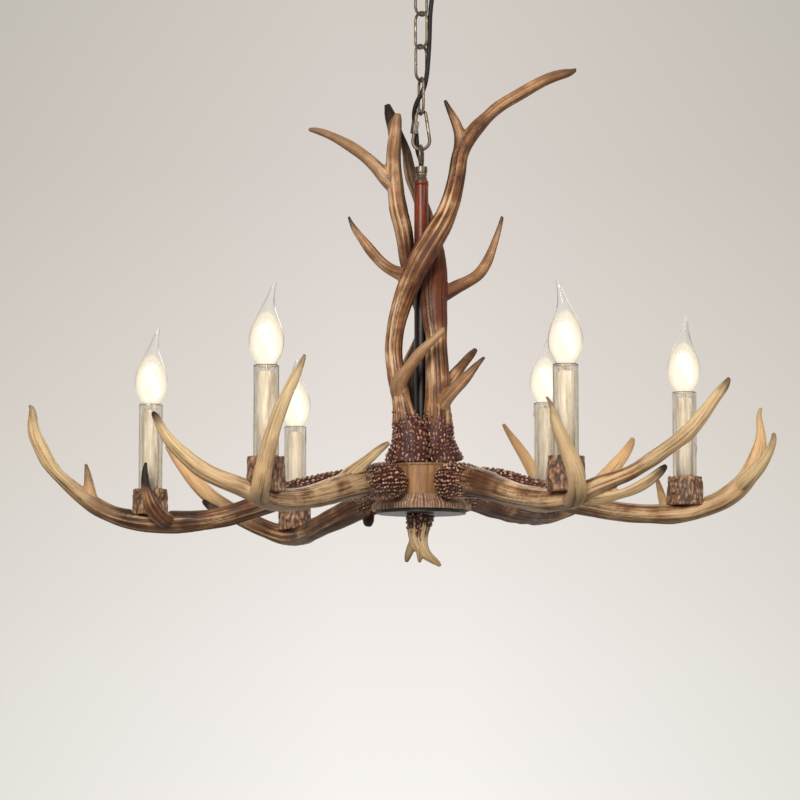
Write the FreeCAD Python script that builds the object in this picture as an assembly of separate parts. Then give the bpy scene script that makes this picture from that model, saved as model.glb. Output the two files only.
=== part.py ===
"""Antler chandelier: six candle lamps on six antler arms, three antlers twisted up the stem.

Millimetres.  +Z is up, -Y faces the viewer, and the origin is the middle of the crossbar's top
face, which lies on the ceiling.  The fixture hangs from a short chain.  Antler routes are given in
the hub's own frame (origin on the stem axis at the height of the arm roots) and set down to it.
"""
import FreeCAD
import Part
import math
import os

V = FreeCAD.Vector
os.makedirs("parts", exist_ok=True)

# ---------------------------------------------------------------- driving dimensions
HUB_Z = -622.0            # height of the hub's own origin below the ceiling

# crossbar, canopy and its hardware
BAR_LENGTH = 110.0
BAR_WIDTH = 25.0
BAR_THICK = 2.0
SLOT_SPACING = 80.0
SLOT_LENGTH = 12.0
SLOT_WIDTH = 5.2
CANOPY_RADIUS = 60.0
CANOPY_HEIGHT = 38.0
CANOPY_WALL = 1.2
CANOPY_BAND = 6.0         # upright band at the canopy's rim
CANOPY_FLAT_RADIUS = 30.0
NIPPLE_RADIUS = 5.0
NIPPLE_BORE = 3.5
THREAD_GAP = 0.05         # radial clearance between a thread and its nut
NUT_FLATS = 14.0
NUT_THICK = 5.0
LOOP_COLLAR_RADIUS = 9.0
LOOP_COLLAR_HEIGHT = 16.0
LOOP_RING_INNER = 11.0
LOOP_WIRE = 4.0
BLOCK_SIZE = (22.0, 16.0, 14.0)
BLOCK_X = 22.0
GROMMET_FLANGE = 7.5
GROMMET_NECK = 5.0
GROMMET_LIP = 2.0
CORD_DIAMETER = 5.0
CORD_GAP = 0.1            # radial clearance of the cord in a hole
CORD_EXIT = (19.5, -5.5)  # where the cord leaves the canopy

# chain
LINK_LENGTH = 42.0
LINK_WIDTH = 20.0
LINK_WIRE = 3.0
LINK_GAP = 0.3            # air between the wires of two links that hang on each other
LOOP_TURN = -45.0         # degrees about Z of each ring's or link's plane, from X
LINK_TURNS = (45.0, -45.0, 48.0, -74.0)
QUICK_TURN = -15.0
EYE_TURN = 82.0
QUICK_LENGTH = 45.0
QUICK_TOP_WIDTH = 14.0
QUICK_WIDTH = 22.0
QUICK_WIRE = 3.5
QUICK_NUT_FLATS = 7.0
QUICK_NUT_LENGTH = 13.0

# stem
EYE_WIRE = 3.5
EYE_INNER = 9.0
EYE_SHANK_RADIUS = 5.0
EYE_SHANK_LENGTH = 15.0
EYE_SEAT = 12.0           # ring centre above the shank's top
CAP_RADIUS = 8.5
CAP_HEIGHT = 14.0
PIPE_RADIUS = 7.5
PIPE_WALL = 1.5
PIPE_IN_CAP = 5.0
STEM_NUT_FLATS = 19.0

# hub, heights in the hub's frame
TOP_PLATE_OVERHANG = 1.0  # the top plate's rim beyond the drum
TOP_PLATE_Z = 23.5
TOP_PLATE_THICK = 2.5
DRUM_RADIUS = 42.0
DRUM_WALL = 8.0
NUT_SEAT_DEPTH = 2.0      # flat seats for the arm nuts, sunk into the drum's inner wall
SKIRT_RADIUS = 51.7
SKIRT_NECK_Z = -6.0
SKIRT_EDGE_Z = -14.0
SKIRT_BOTTOM_Z = -21.6
SKIRT_WALL = 3.0
BOTTOM_PLATE_RADIUS = 46.5
BOTTOM_PLATE_THICK = 3.4
FINIAL_RECESS = 11.5
PIPE_END_Z = -40.0
ARM_ROOT_Z = 7.0          # height of the arm tubes where they leave the drum

# arm tubes and wires
TUBE_RADIUS = 4.0
TUBE_BORE = 3.0
TUBE_PAST_NUT = 1.5
TUBE_STRAIGHT = 60.0      # the tube runs level and radial as far as this from the stem axis
TUBE_BEND = 6.5           # radius of the last bend, up into the cup
ARM_NUT_FLATS = 12.0
ARM_NUT_THICK = 4.0
WIRE_RADIUS = 2.2

# candle lamps
CUP_TOP_RADIUS = 17.5
CUP_FOOT_RADIUS = 19.3
CUP_FLOOR = 5.0
SLEEVE_RADIUS = 13.0
SLEEVE_WALL = 1.3
SLEEVE_ABOVE_CUP = 89.0
SLEEVE_GAP = 0.3
HOLDER_RADIUS = 9.5
HOLDER_RIM = 11.4
HOLDER_RIM_HEIGHT = 6.0
HOLDER_BELOW_TOP = 9.0    # the lampholder's mouth sits this far down in the sleeve
SOCKET_RADIUS = 7.1
SOCKET_DEPTH = 25.0
CAP_SCREW_RADIUS = 7.0
CAP_SCREW_LENGTH = 22.0
CAP_CONTACT_RADIUS = 3.0
CAP_WALL = 0.6
GLASS_WALL = 0.8
GLASS_SEAT = 0.5          # the glass starts this far above the lampholder's mouth
FILAMENT_RADIUS = 1.4
FILAMENT_TOP = 38.0

# profile of the bulb's glass above its own foot: height, radius, sideways bend of the tip
BULB_PROFILE = (
    (0.0, 7.6, 0.0), (6.0, 8.6, 0.0), (12.0, 11.4, 0.0), (20.0, 15.4, 0.0), (28.0, 17.3, 0.0),
    (36.0, 17.2, 0.0), (44.0, 15.4, 0.0), (52.0, 12.4, 0.2), (60.0, 9.0, 0.8), (68.0, 6.0, 2.2),
    (76.0, 4.0, 4.2), (84.0, 2.6, 6.4), (91.0, 1.3, 8.8),
)


# ---------------------------------------------------------------- small helpers
def at_hub(z):
    """Height in the part's frame of a height in the hub's frame."""
    return HUB_Z + z


def cylinder(radius, bottom, top, x=0.0, y=0.0):
    return Part.makeCylinder(radius, top - bottom, V(x, y, bottom))


def tube(outer, inner, bottom, top, x=0.0, y=0.0):
    return cylinder(outer, bottom, top, x, y).cut(cylinder(inner, bottom - 1, top + 1, x, y))


def hexagon(flats, bottom, top):
    """A six-sided prism about Z with two of its flats facing +X and -X."""
    corner = flats / math.sqrt(3)
    points = [V(corner * math.cos(math.radians(30 + 60 * k)),
                corner * math.sin(math.radians(30 + 60 * k)), bottom) for k in range(7)]
    face = Part.Face(Part.makePolygon(points))
    return face.extrude(V(0, 0, top - bottom))


def hex_nut(flats, bore, bottom, top):
    return hexagon(flats, bottom, top).cut(cylinder(bore, bottom - 1, top + 1))


def revolved(points):
    """The solid that a closed outline in the XZ plane sweeps round Z."""
    outline = [V(r, 0, z) for r, z in points]
    face = Part.Face(Part.makePolygon(outline + outline[:1]))
    return face.revolve(V(0, 0, 0), V(0, 0, 1), 360)


def turned(shape, degrees, centre=(0, 0, 0), axis=(0, 0, 1)):
    copy = shape.copy()
    copy.rotate(V(*centre), V(*axis), degrees)
    return copy


def moved(shape, x, y, z):
    copy = shape.copy()
    copy.translate(V(x, y, z))
    return copy


def write(name, *solids):
    """Write one sub-part; several solids make a group."""
    shape = solids[0] if len(solids) == 1 else Part.makeCompound(list(solids))
    shape.exportStep("parts/" + name + ".step")


def rounded_path(points, radii=None):
    """Straight runs joined by tangent arcs, each as large as its two runs allow."""
    corners = [V(*p) for p in points]
    edges = []
    start = corners[0]
    made = []
    for k in range(1, len(corners) - 1):
        before = corners[k] - corners[k - 1]
        after = corners[k + 1] - corners[k]
        turn = before.getAngle(after)
        reach = 0.45 * min(before.Length, after.Length)
        radius = reach / math.tan(turn / 2)
        if radii and radii.get(k):
            radius = radii[k]
            reach = radius * math.tan(turn / 2)
        into = V(before).normalize()
        out = V(after).normalize()
        first = corners[k] - into * reach
        last = corners[k] + out * reach
        inward = (out - into).normalize()
        middle = corners[k] + inward * (radius / math.cos(turn / 2) - radius)
        edges.append(Part.LineSegment(start, first).toShape())
        edges.append(Part.Arc(first, middle, last).toShape())
        made.append(radius)
        start = last
    edges.append(Part.LineSegment(start, corners[-1]).toShape())
    return Part.Wire(edges), made


def swept(path, radius):
    """A round bar of one radius along a path of runs and arcs."""
    first = path.Edges[0]
    begin = first.valueAt(first.FirstParameter)
    heading = first.tangentAt(first.FirstParameter)
    circle = Part.Wire(Part.makeCircle(radius, begin, heading))
    return path.makePipeShell([circle], True, False)


def stadium_ring(length, width, wire):
    """A chain link: a round wire round a long oval, in the XZ plane with its middle at the origin."""
    bend = (width - wire) / 2
    straight = (length - wire) / 2 - bend
    a, b = V(bend, 0, -straight), V(bend, 0, straight)
    c, d = V(-bend, 0, straight), V(-bend, 0, -straight)
    path = Part.Wire([
        Part.LineSegment(a, b).toShape(),
        Part.Arc(b, V(0, 0, straight + bend), c).toShape(),
        Part.LineSegment(c, d).toShape(),
        Part.Arc(d, V(0, 0, -straight - bend), a).toShape(),
    ])
    circle = Part.Wire(Part.makeCircle(wire / 2, a, V(0, 0, 1)))
    return path.makePipeShell([circle], True, False)


# ---------------------------------------------------------------- antlers
# Each route is a list of (x, y, z, radius) in the hub's frame, from the thick end to the tip.
# An arm holds its beam, its tines, the foot of its cup and the top of its cup.
ARMS = {
    "left": {
        "beam": (
            (-41.5, 0, 7, 11), (-48, 0, 7, 15.5), (-57, 0, 7, 17.5), (-69, 0, 6.5, 17.2), (-92, 0, 4, 15),
            (-138, 0, -4, 13.5), (-179, 0, -19, 12), (-232, 0, -32, 11), (-284, 0, -33, 11.5),
            (-315, 0, -28, 9.8), (-337, 0, -19, 9.3), (-357, 0, -5, 8.4), (-372, 0, 8, 7.5),
            (-386, 0, 22, 7), (-396, 0, 38, 6.6), (-404, 0, 54, 6), (-408, 0, 70, 4.6), (-412, 0, 90, 2),
        ),
        "tines": (
            ((-343, 0, -15, 6.5), (-347, 0, -2, 6.2), (-349, 0, 11, 4.7), (-352, 0, 28, 1.8)),
            ((-266, -6, -32, 8), (-272, -19, -29, 8.5), (-280, -27, -19, 8), (-285, -30, -5, 6.4),
             (-287, -31, 10, 4.3), (-286, -31, 27, 1.6)),
        ),
        "cup": (-284, 0), "foot": -25.5, "top": 1.0, "beam_point": 8,
    },
    "front_left": {
        "beam": (
            (-24, -34, 7, 11), (-28, -39.5, 6.8, 15.5), (-33, -47, 6.5, 18), (-39, -57, 5.5, 18.5),
            (-47, -70, 4, 17.6), (-60, -90, 1, 16), (-77, -118, -5, 14.3), (-102, -155, -16, 12.2),
            (-127, -193, -24, 11), (-150, -233, -26, 10.2), (-160, -247, -22.5, 9.6), (-174, -250, -16, 9.1),
            (-196, -252, -8, 8.8), (-216, -253, 3, 8.2), (-234, -253, 18, 7.2), (-250, -250, 37, 5.6),
            (-261, -245, 58, 2),
        ),
        "tines": (
            ((-155, -243, -25, 8), (-157, -258, -22, 9), (-155, -270, -13, 9), (-152, -275, 2, 8.5),
             (-147, -278, 23, 8), (-140, -279, 47, 7.2), (-131, -277, 71, 6.2), (-121, -271, 93, 4.6),
             (-114, -265, 111, 1.8)),
            ((-84, -126, -8, 10), (-76, -116, 4, 8.5), (-66, -106, 14, 7), (-54, -98, 25, 5.6),
             (-34, -85, 42, 2)),
        ),
        "cup": (-152, -242), "foot": -19.5, "top": 14.0, "beam_point": 9,
    },
    "rear_left": {
        "beam": (
            (-20.7, 36, 7, 11), (-24, 41.5, 6.5, 15.5), (-28.5, 49, 5, 17.5), (-35, 60, 2, 17.2),
            (-46, 76, -2, 16), (-67, 104, -10, 14.3), (-97, 145, -22, 12.8), (-121, 190, -31, 11.3),
            (-142, 238, -34, 10.8), (-160, 256, -30, 10.3), (-180, 266, -22, 10.2), (-202, 274, -11, 10.2),
            (-226, 280, 3, 10), (-246, 284, 20, 9.2), (-264, 287, 40, 7.8), (-280, 287, 59, 5.2),
            (-291, 285, 73, 2),
        ),
        "tines": (
            ((-206, 275, -9, 6.5), (-222, 268, -7, 6.2), (-235, 263, -1, 5.2), (-246, 258, 8, 2.6)),
            ((-56, 86, -8, 6), (-56, 82, -19, 6.4), (-56.5, 79, -28, 6), (-57, 78, -33, 3.5)),
        ),
        "cup": (-141, 242), "foot": -26.5, "top": 1.0, "beam_point": 8,
    },
    "rear_right": {
        "beam": (
            (20.7, 36, 7, 11), (24, 41.5, 6.8, 15.5), (28.5, 49, 6, 17.3), (35, 60, 4.5, 16.8),
            (45, 76, 2, 15.2), (62, 101, -3, 13.6), (88, 140, -10, 12.2), (116, 190, -12, 11.3),
            (141, 240, -9, 11.3),
            (160, 257, -3, 10.8), (184, 270, 10, 10.2), (210, 279, 33, 9.4), (229, 284, 56, 7.6),
            (245, 285, 82, 2.2),
        ),
        "tines": (
            ((146, 245, -9, 7), (147, 266, -4, 8.2), (142, 277, 12, 8.4), (134, 281, 32, 8),
             (126, 283, 50, 7.2), (117, 284, 66, 6), (106, 284, 82, 4.4), (96, 284, 98, 2)),
        ),
        "cup": (142, 242), "foot": -1.5, "top": 28.0, "beam_point": 8,
    },
    "front_right": {
        "beam": (
            (22, -35, 7, 11), (25.5, -40.5, 6.8, 15.5), (30.5, -48.5, 6.5, 18), (36, -58, 6, 18.5),
            (44, -72, 4.5, 17.6), (56, -93, 0.5, 15.8), (74, -123, -7, 13.8), (95, -160, -17.5, 12.2),
            (117, -202, -24.5, 11.2), (138, -237, -26, 10.8), (152, -247, -21.5, 10.4), (166, -250, -15, 9.2),
            (182, -250, -9, 7.8), (201, -249, -1, 7), (220, -247, 11, 7.2), (240, -244, 25, 7.3),
            (258, -240, 40, 7.5), (273, -236, 58, 7), (287, -232, 77, 5.4), (298, -228, 93, 2),
        ),
        "tines": (
            ((140, -240, -27, 8), (146, -256, -26, 9.3), (147, -269, -15, 9.3), (144, -276, -1, 8.8),
             (139, -279, 13, 7.8), (132, -280, 29, 6.5), (125, -278, 48, 4.8), (117, -272, 70, 1.8)),
            ((150, -246, -25, 6.5), (163, -247, -27, 6.3), (180, -249, -25, 5.5), (200, -251, -19, 5.4),
             (218, -252, -9, 5.6), (234, -252, 5, 2)),
        ),
        "cup": (138, -242), "foot": -19.5, "top": 15.0, "beam_point": 9,
    },
    "right": {
        "beam": (
            (41.5, 0, 7, 11), (48, 0, 7, 15.5), (57, 0, 7, 17.5), (69, 0, 6.5, 17.2), (94, 0, 4, 15),
            (130, 0, -5, 13.5), (166, 0, -14, 11.6), (205, 0, -22, 10.4), (239, 0, -25, 9.8),
            (276, 0, -23, 10.6), (294, 0, -18, 10.6), (314, 0, -10, 10.6), (333, 0, 3, 11),
            (346, 0, 21, 10), (354, 0, 42, 7.8), (356, 0, 63, 5), (357, 0, 87, 1.8),
        ),
        "tines": (
            ((335, -2, 4, 8), (342, -14, 12, 8.2), (352, -22, 24, 7), (360, -28, 36, 5.2),
             (365, -30, 48, 3.6), (366, -30, 58, 1.8)),
            ((262, 3, -24, 6.5), (259, 15, -20, 6.2), (255, 23, -9, 5), (252, 28, 4, 3.8),
             (249, 31, 16, 1.8)),
        ),
        "cup": (276, 0), "foot": -15.5, "top": 14.0, "beam_point": 9,
    },
}

# The three antlers twisted round the stem, each from its burr on the hub to its tip.
TRUNKS = {
    "upper_antler_front": {
        "beam": (
            (-12, -17, 26, 26), (-11, -18.5, 40, 23), (-11.5, -20, 56, 19.5), (-17, -21.5, 72, 14),
            (-21, -22, 93, 10.2), (-26, -20, 119, 9.8), (-29, -18, 146, 9.5), (-26, -18, 173, 10),
            (-19, -20, 199, 11), (-11, -24, 219, 12), (-1, -28, 239, 12.6), (12, -28, 262, 12.6),
            (25, -23, 286, 11), (33, -14, 311, 10), (38, -8, 338, 9.2), (42, -4, 358, 9), (50, -2, 374, 8.4),
            (66, 0, 393, 7.4), (86, 2, 411, 6.9), (107, 4, 424, 6.3), (128, 5, 436, 5.2),
            (148, 5, 444, 4.4), (166, 5, 450, 2),
        ),
        "tines": (
            ((40, -5, 360, 6.5), (41, -5, 374, 6.6), (36, -6, 391, 5.2), (30, -8, 403, 3.8), (25, -8, 414, 2)),
            ((-8, -25, 222, 8), (-21, -21, 226, 7.8), (-35, -14, 233, 6.4), (-50, -9, 248, 5.7),
             (-64, -5, 267, 4.6), (-77, -3, 290, 1.8)),
            ((-23, -22, 96, 8), (-23, -29, 110, 7.9), (-14, -37, 124, 6.8), (-2, -43, 139, 5.7),
             (11, -47, 152, 4.5), (23, -49, 165, 2)),
        ),
    },
    "upper_antler_right": {
        "beam": (
            (19, -8, 26, 26), (15.5, -10, 40, 23), (14, -13, 56, 19.6), (17, -14, 72, 15),
            (17, -15, 92, 13.4), (17, -15, 114, 12.8), (16, -15, 138, 12), (15.5, -14, 162, 11.6),
            (13.5, -10, 183, 14), (13, -5, 204, 14.6), (14.5, 4, 230, 12.8), (15, 14, 257, 9.4),
            (9, 20, 284, 8), (1, 24, 307, 7.5), (-8, 26, 329, 6.9), (-13, 26, 350, 6.2),
            (-18, 24, 372, 4.8), (-24, 20, 398, 2),
        ),
        "tines": (
            ((16, 0, 203, 8), (30, 2, 211, 7.8), (45, 4, 219, 6.9), (60, 8, 229, 6.6), (71, 10, 246, 5.6),
             (79, 10, 267, 4.2), (86, 8, 292, 1.8)),
            ((18, -14, 96, 9), (27, -5, 110, 7.6), (39, 5, 127, 6.2), (49, 12, 140, 4.7), (58, 17, 151, 2)),
            ((18, -15, 78, 9), (24, -23, 92, 8), (37, -28, 106, 6.8), (51, -31, 121, 5.1), (66, -33, 137, 2)),
        ),
    },
    "upper_antler_left": {
        "beam": (
            (-8, 20, 26, 24), (-7, 22, 40, 20), (-5, 24, 58, 15.5), (-4, 26, 76, 12.8), (-6, 27, 98, 11.8),
            (-4, 28, 125, 11), (1, 28, 149, 10.7), (5, 27, 171, 10.6), (3, 25.5, 192, 10.5), (-3, 22.5, 212, 10.2),
            (-10, 17, 232, 9.9), (-15, 10, 252, 9.6), (-19, 2, 276, 9.5), (-24, -2, 297, 9.5), (-27, -2, 318, 9), (-29, -2, 340, 8.4),
            (-29, -4, 361, 7.6), (-27, -7, 382, 6.4), (-25, -11, 399, 3.4),
        ),
        "tines": (
            ((-27, -2, 320, 8), (-37, -1, 331, 8), (-47, 1, 343, 7.4), (-63, 3, 358, 6.7), (-81, 5, 370, 5.7),
             (-98, 6, 379, 4.6), (-120, 6, 385, 1.8)),
            ((-28, -5, 368, 5.4), (-29, -2, 384, 5.2), (-33, 0, 399, 4.5), (-36, 1, 411, 3.3)),
        ),
    },
}

FINIAL = {
    "beam": ((-1.5, 0, -25, 14.6), (-2, 0, -36, 13.2), (-3, 0, -48, 10.4), (-1, 0, -57, 8.6), (4, -1, -66, 6.2),
             (12, -2, -73, 4.4), (20, -2, -80, 2)),
    "tines": (
        ((-4, 0, -44, 6), (-8, 2, -54, 5), (-13, 4, -65, 4.1), (-16, 5, -75, 2)),
        ((-2, -1, -54, 5), (-2, -4, -66, 3.8), (-2, -6, -76, 2)),
    ),
}


def horn(route):
    """One tapering beam or tine: a loft through circles square to its route."""
    centres = [V(x, y, at_hub(z)) for x, y, z, _ in route]
    last = len(centres) - 1
    sections = []
    side = None
    for k, (*_, radius) in enumerate(route):
        heading = (centres[min(k + 1, last)] - centres[max(k - 1, 0)]).normalize()
        if side is None:
            side = heading.cross(V(0.31, 0.87, 0.39)).normalize()
        side = (side - heading * side.dot(heading)).normalize()
        up = heading.cross(side)
        turn = FreeCAD.Matrix(side.x, up.x, heading.x, centres[k].x,
                              side.y, up.y, heading.y, centres[k].y,
                              side.z, up.z, heading.z, centres[k].z,
                              0, 0, 0, 1)
        circle = Part.makeCircle(radius)
        circle.Placement = FreeCAD.Placement(turn)
        sections.append(Part.Wire(circle))
    return Part.makeLoft(sections, True, False)


def antler(routes):
    """A beam with its tines fused on."""
    shape = horn(routes["beam"])
    for tine in routes["tines"]:
        shape = shape.fuse(horn(tine))
    return one_solid(shape)


def one_solid(shape):
    """The largest solid of a cut or fused shape."""
    return max(shape.Solids, key=lambda solid: solid.Volume)


# ---------------------------------------------------------------- ceiling set
def make_ceiling_set():
    bar = Part.makeBox(BAR_LENGTH, BAR_WIDTH, BAR_THICK, V(-BAR_LENGTH / 2, -BAR_WIDTH / 2, -BAR_THICK))
    for side in (-1, 1):
        middle = side * SLOT_SPACING / 2
        straight = SLOT_LENGTH - SLOT_WIDTH
        slot = Part.makeBox(straight, SLOT_WIDTH, BAR_THICK + 2,
                            V(middle - straight / 2, -SLOT_WIDTH / 2, -BAR_THICK - 1))
        for end in (-1, 1):
            slot = slot.fuse(cylinder(SLOT_WIDTH / 2, -BAR_THICK - 1, 1, middle + end * straight / 2))
        bar = bar.cut(slot)
    bar = bar.cut(cylinder(NIPPLE_RADIUS + THREAD_GAP, -BAR_THICK - 1, 1))
    write("ceiling_bracket", one_solid(bar))

    # canopy: a thin dome with a flat middle, open to the ceiling
    def dome(radius, height, flat):
        start, end = V(radius, 0, -CANOPY_BAND), V(flat, 0, -height)
        reach_r, reach_z = radius - flat, height - CANOPY_BAND
        middle = V(flat + reach_r * math.cos(math.pi / 4), 0,
                   -CANOPY_BAND - reach_z * math.sin(math.pi / 4))
        edges = [
            Part.LineSegment(V(0, 0, 0), V(radius, 0, 0)).toShape(),
            Part.LineSegment(V(radius, 0, 0), start).toShape(),
            Part.Arc(start, middle, end).toShape(),
            Part.LineSegment(end, V(0, 0, -height)).toShape(),
            Part.LineSegment(V(0, 0, -height), V(0, 0, 0)).toShape(),
        ]
        return Part.Face(Part.Wire(edges)).revolve(V(0, 0, 0), V(0, 0, 1), 360)

    canopy = dome(CANOPY_RADIUS, CANOPY_HEIGHT, CANOPY_FLAT_RADIUS)
    canopy = canopy.cut(dome(CANOPY_RADIUS - CANOPY_WALL, CANOPY_HEIGHT - CANOPY_WALL,
                             CANOPY_FLAT_RADIUS - CANOPY_WALL / 2))
    canopy = canopy.cut(cylinder(NIPPLE_RADIUS + THREAD_GAP, -CANOPY_HEIGHT - 1, 1))
    canopy = canopy.cut(cylinder(GROMMET_NECK, -CANOPY_HEIGHT - 1, 1, *CORD_EXIT))
    write("canopy", one_solid(canopy))

    nipple_end = -CANOPY_HEIGHT - LOOP_COLLAR_HEIGHT * 0.6
    write("canopy_nipple", tube(NIPPLE_RADIUS, NIPPLE_BORE, nipple_end, -BAR_THICK / 4))

    lock = hex_nut(NUT_FLATS, NIPPLE_RADIUS + THREAD_GAP, -BAR_THICK - NUT_THICK, -BAR_THICK)
    inside = -CANOPY_HEIGHT + CANOPY_WALL
    inner = hex_nut(NUT_FLATS, NIPPLE_RADIUS + THREAD_GAP, inside, inside + NUT_THICK)
    write("canopy_nuts", lock, inner)

    collar = cylinder(LOOP_COLLAR_RADIUS, -CANOPY_HEIGHT - LOOP_COLLAR_HEIGHT, -CANOPY_HEIGHT)
    ring = Part.makeTorus(LOOP_RING_INNER + LOOP_WIRE / 2, LOOP_WIRE / 2, V(0, 0, loop_centre()), V(0, 1, 0))
    loop = collar.fuse(turned(ring, LOOP_TURN))
    loop = loop.cut(cylinder(NIPPLE_RADIUS + THREAD_GAP, nipple_end, -CANOPY_HEIGHT + 1))
    write("canopy_loop", one_solid(loop))

    length, width, height = BLOCK_SIZE
    block = Part.makeBox(length, width, height, V(BLOCK_X - length / 2, -width / 2, -BAR_THICK - height))
    write("terminal_block", block)

    neck = cylinder(GROMMET_NECK, -CANOPY_HEIGHT, inside, *CORD_EXIT)
    below = cylinder(GROMMET_FLANGE, -CANOPY_HEIGHT - GROMMET_LIP, -CANOPY_HEIGHT, *CORD_EXIT)
    above = cylinder(GROMMET_FLANGE, inside, inside + GROMMET_LIP, *CORD_EXIT)
    grommet = below.fuse(neck).fuse(above)
    bore = CORD_DIAMETER / 2 + CORD_GAP
    grommet = grommet.cut(cylinder(bore, -CANOPY_HEIGHT - 2 * GROMMET_LIP, 0, *CORD_EXIT))
    write("cord_grommet", one_solid(grommet))


def loop_centre():
    """Height of the canopy ring's middle: its top wire sinks half into the collar."""
    return -CANOPY_HEIGHT - LOOP_COLLAR_HEIGHT + LOOP_WIRE * 0.6 - LOOP_RING_INNER - LOOP_WIRE


# ---------------------------------------------------------------- chain
def chain_seats():
    """Heights at which each hanging wire is caught, from the canopy ring down to the quick link."""
    seats = [loop_centre() - LOOP_RING_INNER]
    for _ in LINK_TURNS:
        seats.append(seats[-1] + LINK_GAP + 2 * LINK_WIRE - LINK_LENGTH)
    seats.append(seats[-1] + LINK_GAP + 2 * QUICK_WIRE - QUICK_LENGTH)
    return seats


def make_chain():
    seats = chain_seats()
    for k, turn in enumerate(LINK_TURNS):
        top = seats[k] + LINK_GAP + LINK_WIRE
        link = moved(stadium_ring(LINK_LENGTH, LINK_WIDTH, LINK_WIRE), 0, 0, top - LINK_LENGTH / 2)
        write("chain_link_%d" % (k + 1), turned(link, turn))

    # quick link: a pear of wire, narrow at the top, with its screwed nut on the left leg
    top = seats[-2] + LINK_GAP + QUICK_WIRE
    upper_bend = (QUICK_TOP_WIDTH - QUICK_WIRE) / 2
    lower_bend = (QUICK_WIDTH - QUICK_WIRE) / 2
    upper_z = top - QUICK_WIRE / 2 - upper_bend
    lower_z = top - QUICK_LENGTH + QUICK_WIRE / 2 + lower_bend
    lean = math.asin((lower_bend - upper_bend) / (upper_z - lower_z))
    side, rise = math.cos(lean), math.sin(lean)

    def on_bend(bend, z, sign):
        return V(sign * bend * side, 0, z + bend * rise)

    right_low, right_high = on_bend(lower_bend, lower_z, 1), on_bend(upper_bend, upper_z, 1)
    left_high, left_low = on_bend(upper_bend, upper_z, -1), on_bend(lower_bend, lower_z, -1)
    path = Part.Wire([
        Part.LineSegment(right_low, right_high).toShape(),
        Part.Arc(right_high, V(0, 0, upper_z + upper_bend), left_high).toShape(),
        Part.LineSegment(left_high, left_low).toShape(),
        Part.Arc(left_low, V(0, 0, lower_z - lower_bend), right_low).toShape(),
    ])
    heading = right_high - right_low
    circle = Part.Wire(Part.makeCircle(QUICK_WIRE / 2, right_low, heading))
    write("quick_link", turned(path.makePipeShell([circle], True, False), QUICK_TURN))

    leg = (left_high - left_low).normalize()
    foot = (left_high + left_low) * 0.5 - leg * (QUICK_NUT_LENGTH / 2)
    nut = hexagon(QUICK_NUT_FLATS, 0, QUICK_NUT_LENGTH)
    nut = nut.cut(cylinder(QUICK_WIRE / 2 + THREAD_GAP, -1, QUICK_NUT_LENGTH + 1))
    nut.rotate(V(0, 0, 0), V(0, 1, 0), math.degrees(lean))
    nut.translate(foot)
    write("quick_link_nut", turned(nut, QUICK_TURN))


# ---------------------------------------------------------------- stem and hub
def eye_top():
    return chain_seats()[-1] + LINK_GAP + EYE_WIRE


def shank_top():
    return eye_top() - EYE_WIRE - EYE_INNER - EYE_SEAT


def cap_top():
    return shank_top() - EYE_SHANK_LENGTH * 0.4


def pipe_top():
    return cap_top() - CAP_HEIGHT + PIPE_IN_CAP


def cord_end():
    """Height at which the supply cord's sheath ends, inside the eye's shank."""
    return shank_top() - 2


def make_stem():
    centre = shank_top() + EYE_SEAT
    ring = Part.makeTorus(EYE_INNER + EYE_WIRE / 2, EYE_WIRE / 2, V(0, 0, centre), V(0, 1, 0))
    shank = cylinder(EYE_SHANK_RADIUS, pipe_top(), shank_top())
    boss = cylinder(EYE_SHANK_RADIUS + 1.5, cap_top(), shank_top())
    eye = turned(ring, EYE_TURN).fuse(shank).fuse(boss)
    eye = eye.cut(cylinder(CORD_DIAMETER / 2 + CORD_GAP, pipe_top() - 1, centre))
    write("hang_eye", one_solid(eye))

    cap = cylinder(CAP_RADIUS, cap_top() - CAP_HEIGHT, cap_top())
    cap = cap.cut(cylinder(EYE_SHANK_RADIUS + THREAD_GAP, pipe_top() - 1, cap_top() + 1))
    cap = cap.cut(cylinder(PIPE_RADIUS + THREAD_GAP, cap_top() - CAP_HEIGHT - 1, pipe_top()))
    write("stem_cap", cap)

    pipe = tube(PIPE_RADIUS, PIPE_RADIUS - PIPE_WALL, at_hub(PIPE_END_Z), pipe_top())
    write("stem_pipe", pipe.cut(wire_window()))


def arm_direction(name):
    """Unit vector from the stem axis to an arm's root."""
    x, y = ARMS[name]["beam"][0][:2]
    return V(x, y, 0).normalize()


def wire_window():
    """The wire hole in the stem pipe, level with the arm roots."""
    return Part.makeCylinder(WIRE_RADIUS + 1.5, PIPE_RADIUS + 2, V(0, 0, at_hub(ARM_ROOT_Z)), V(0, -1, 0))


def nut_seat():
    """Distance from the stem axis of the flat seats that the arm nuts pull up against."""
    return DRUM_RADIUS - DRUM_WALL + NUT_SEAT_DEPTH


def skirt_top():
    """Outline of the skirt's upper face, from the drum out to the rim."""
    neck, edge = at_hub(SKIRT_NECK_Z), at_hub(SKIRT_EDGE_Z)
    return [(DRUM_RADIUS + 1, neck), (DRUM_RADIUS + 3, neck - 4), (SKIRT_RADIUS - 3, edge + 0.5),
            (SKIRT_RADIUS, edge - 1.5)]


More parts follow.
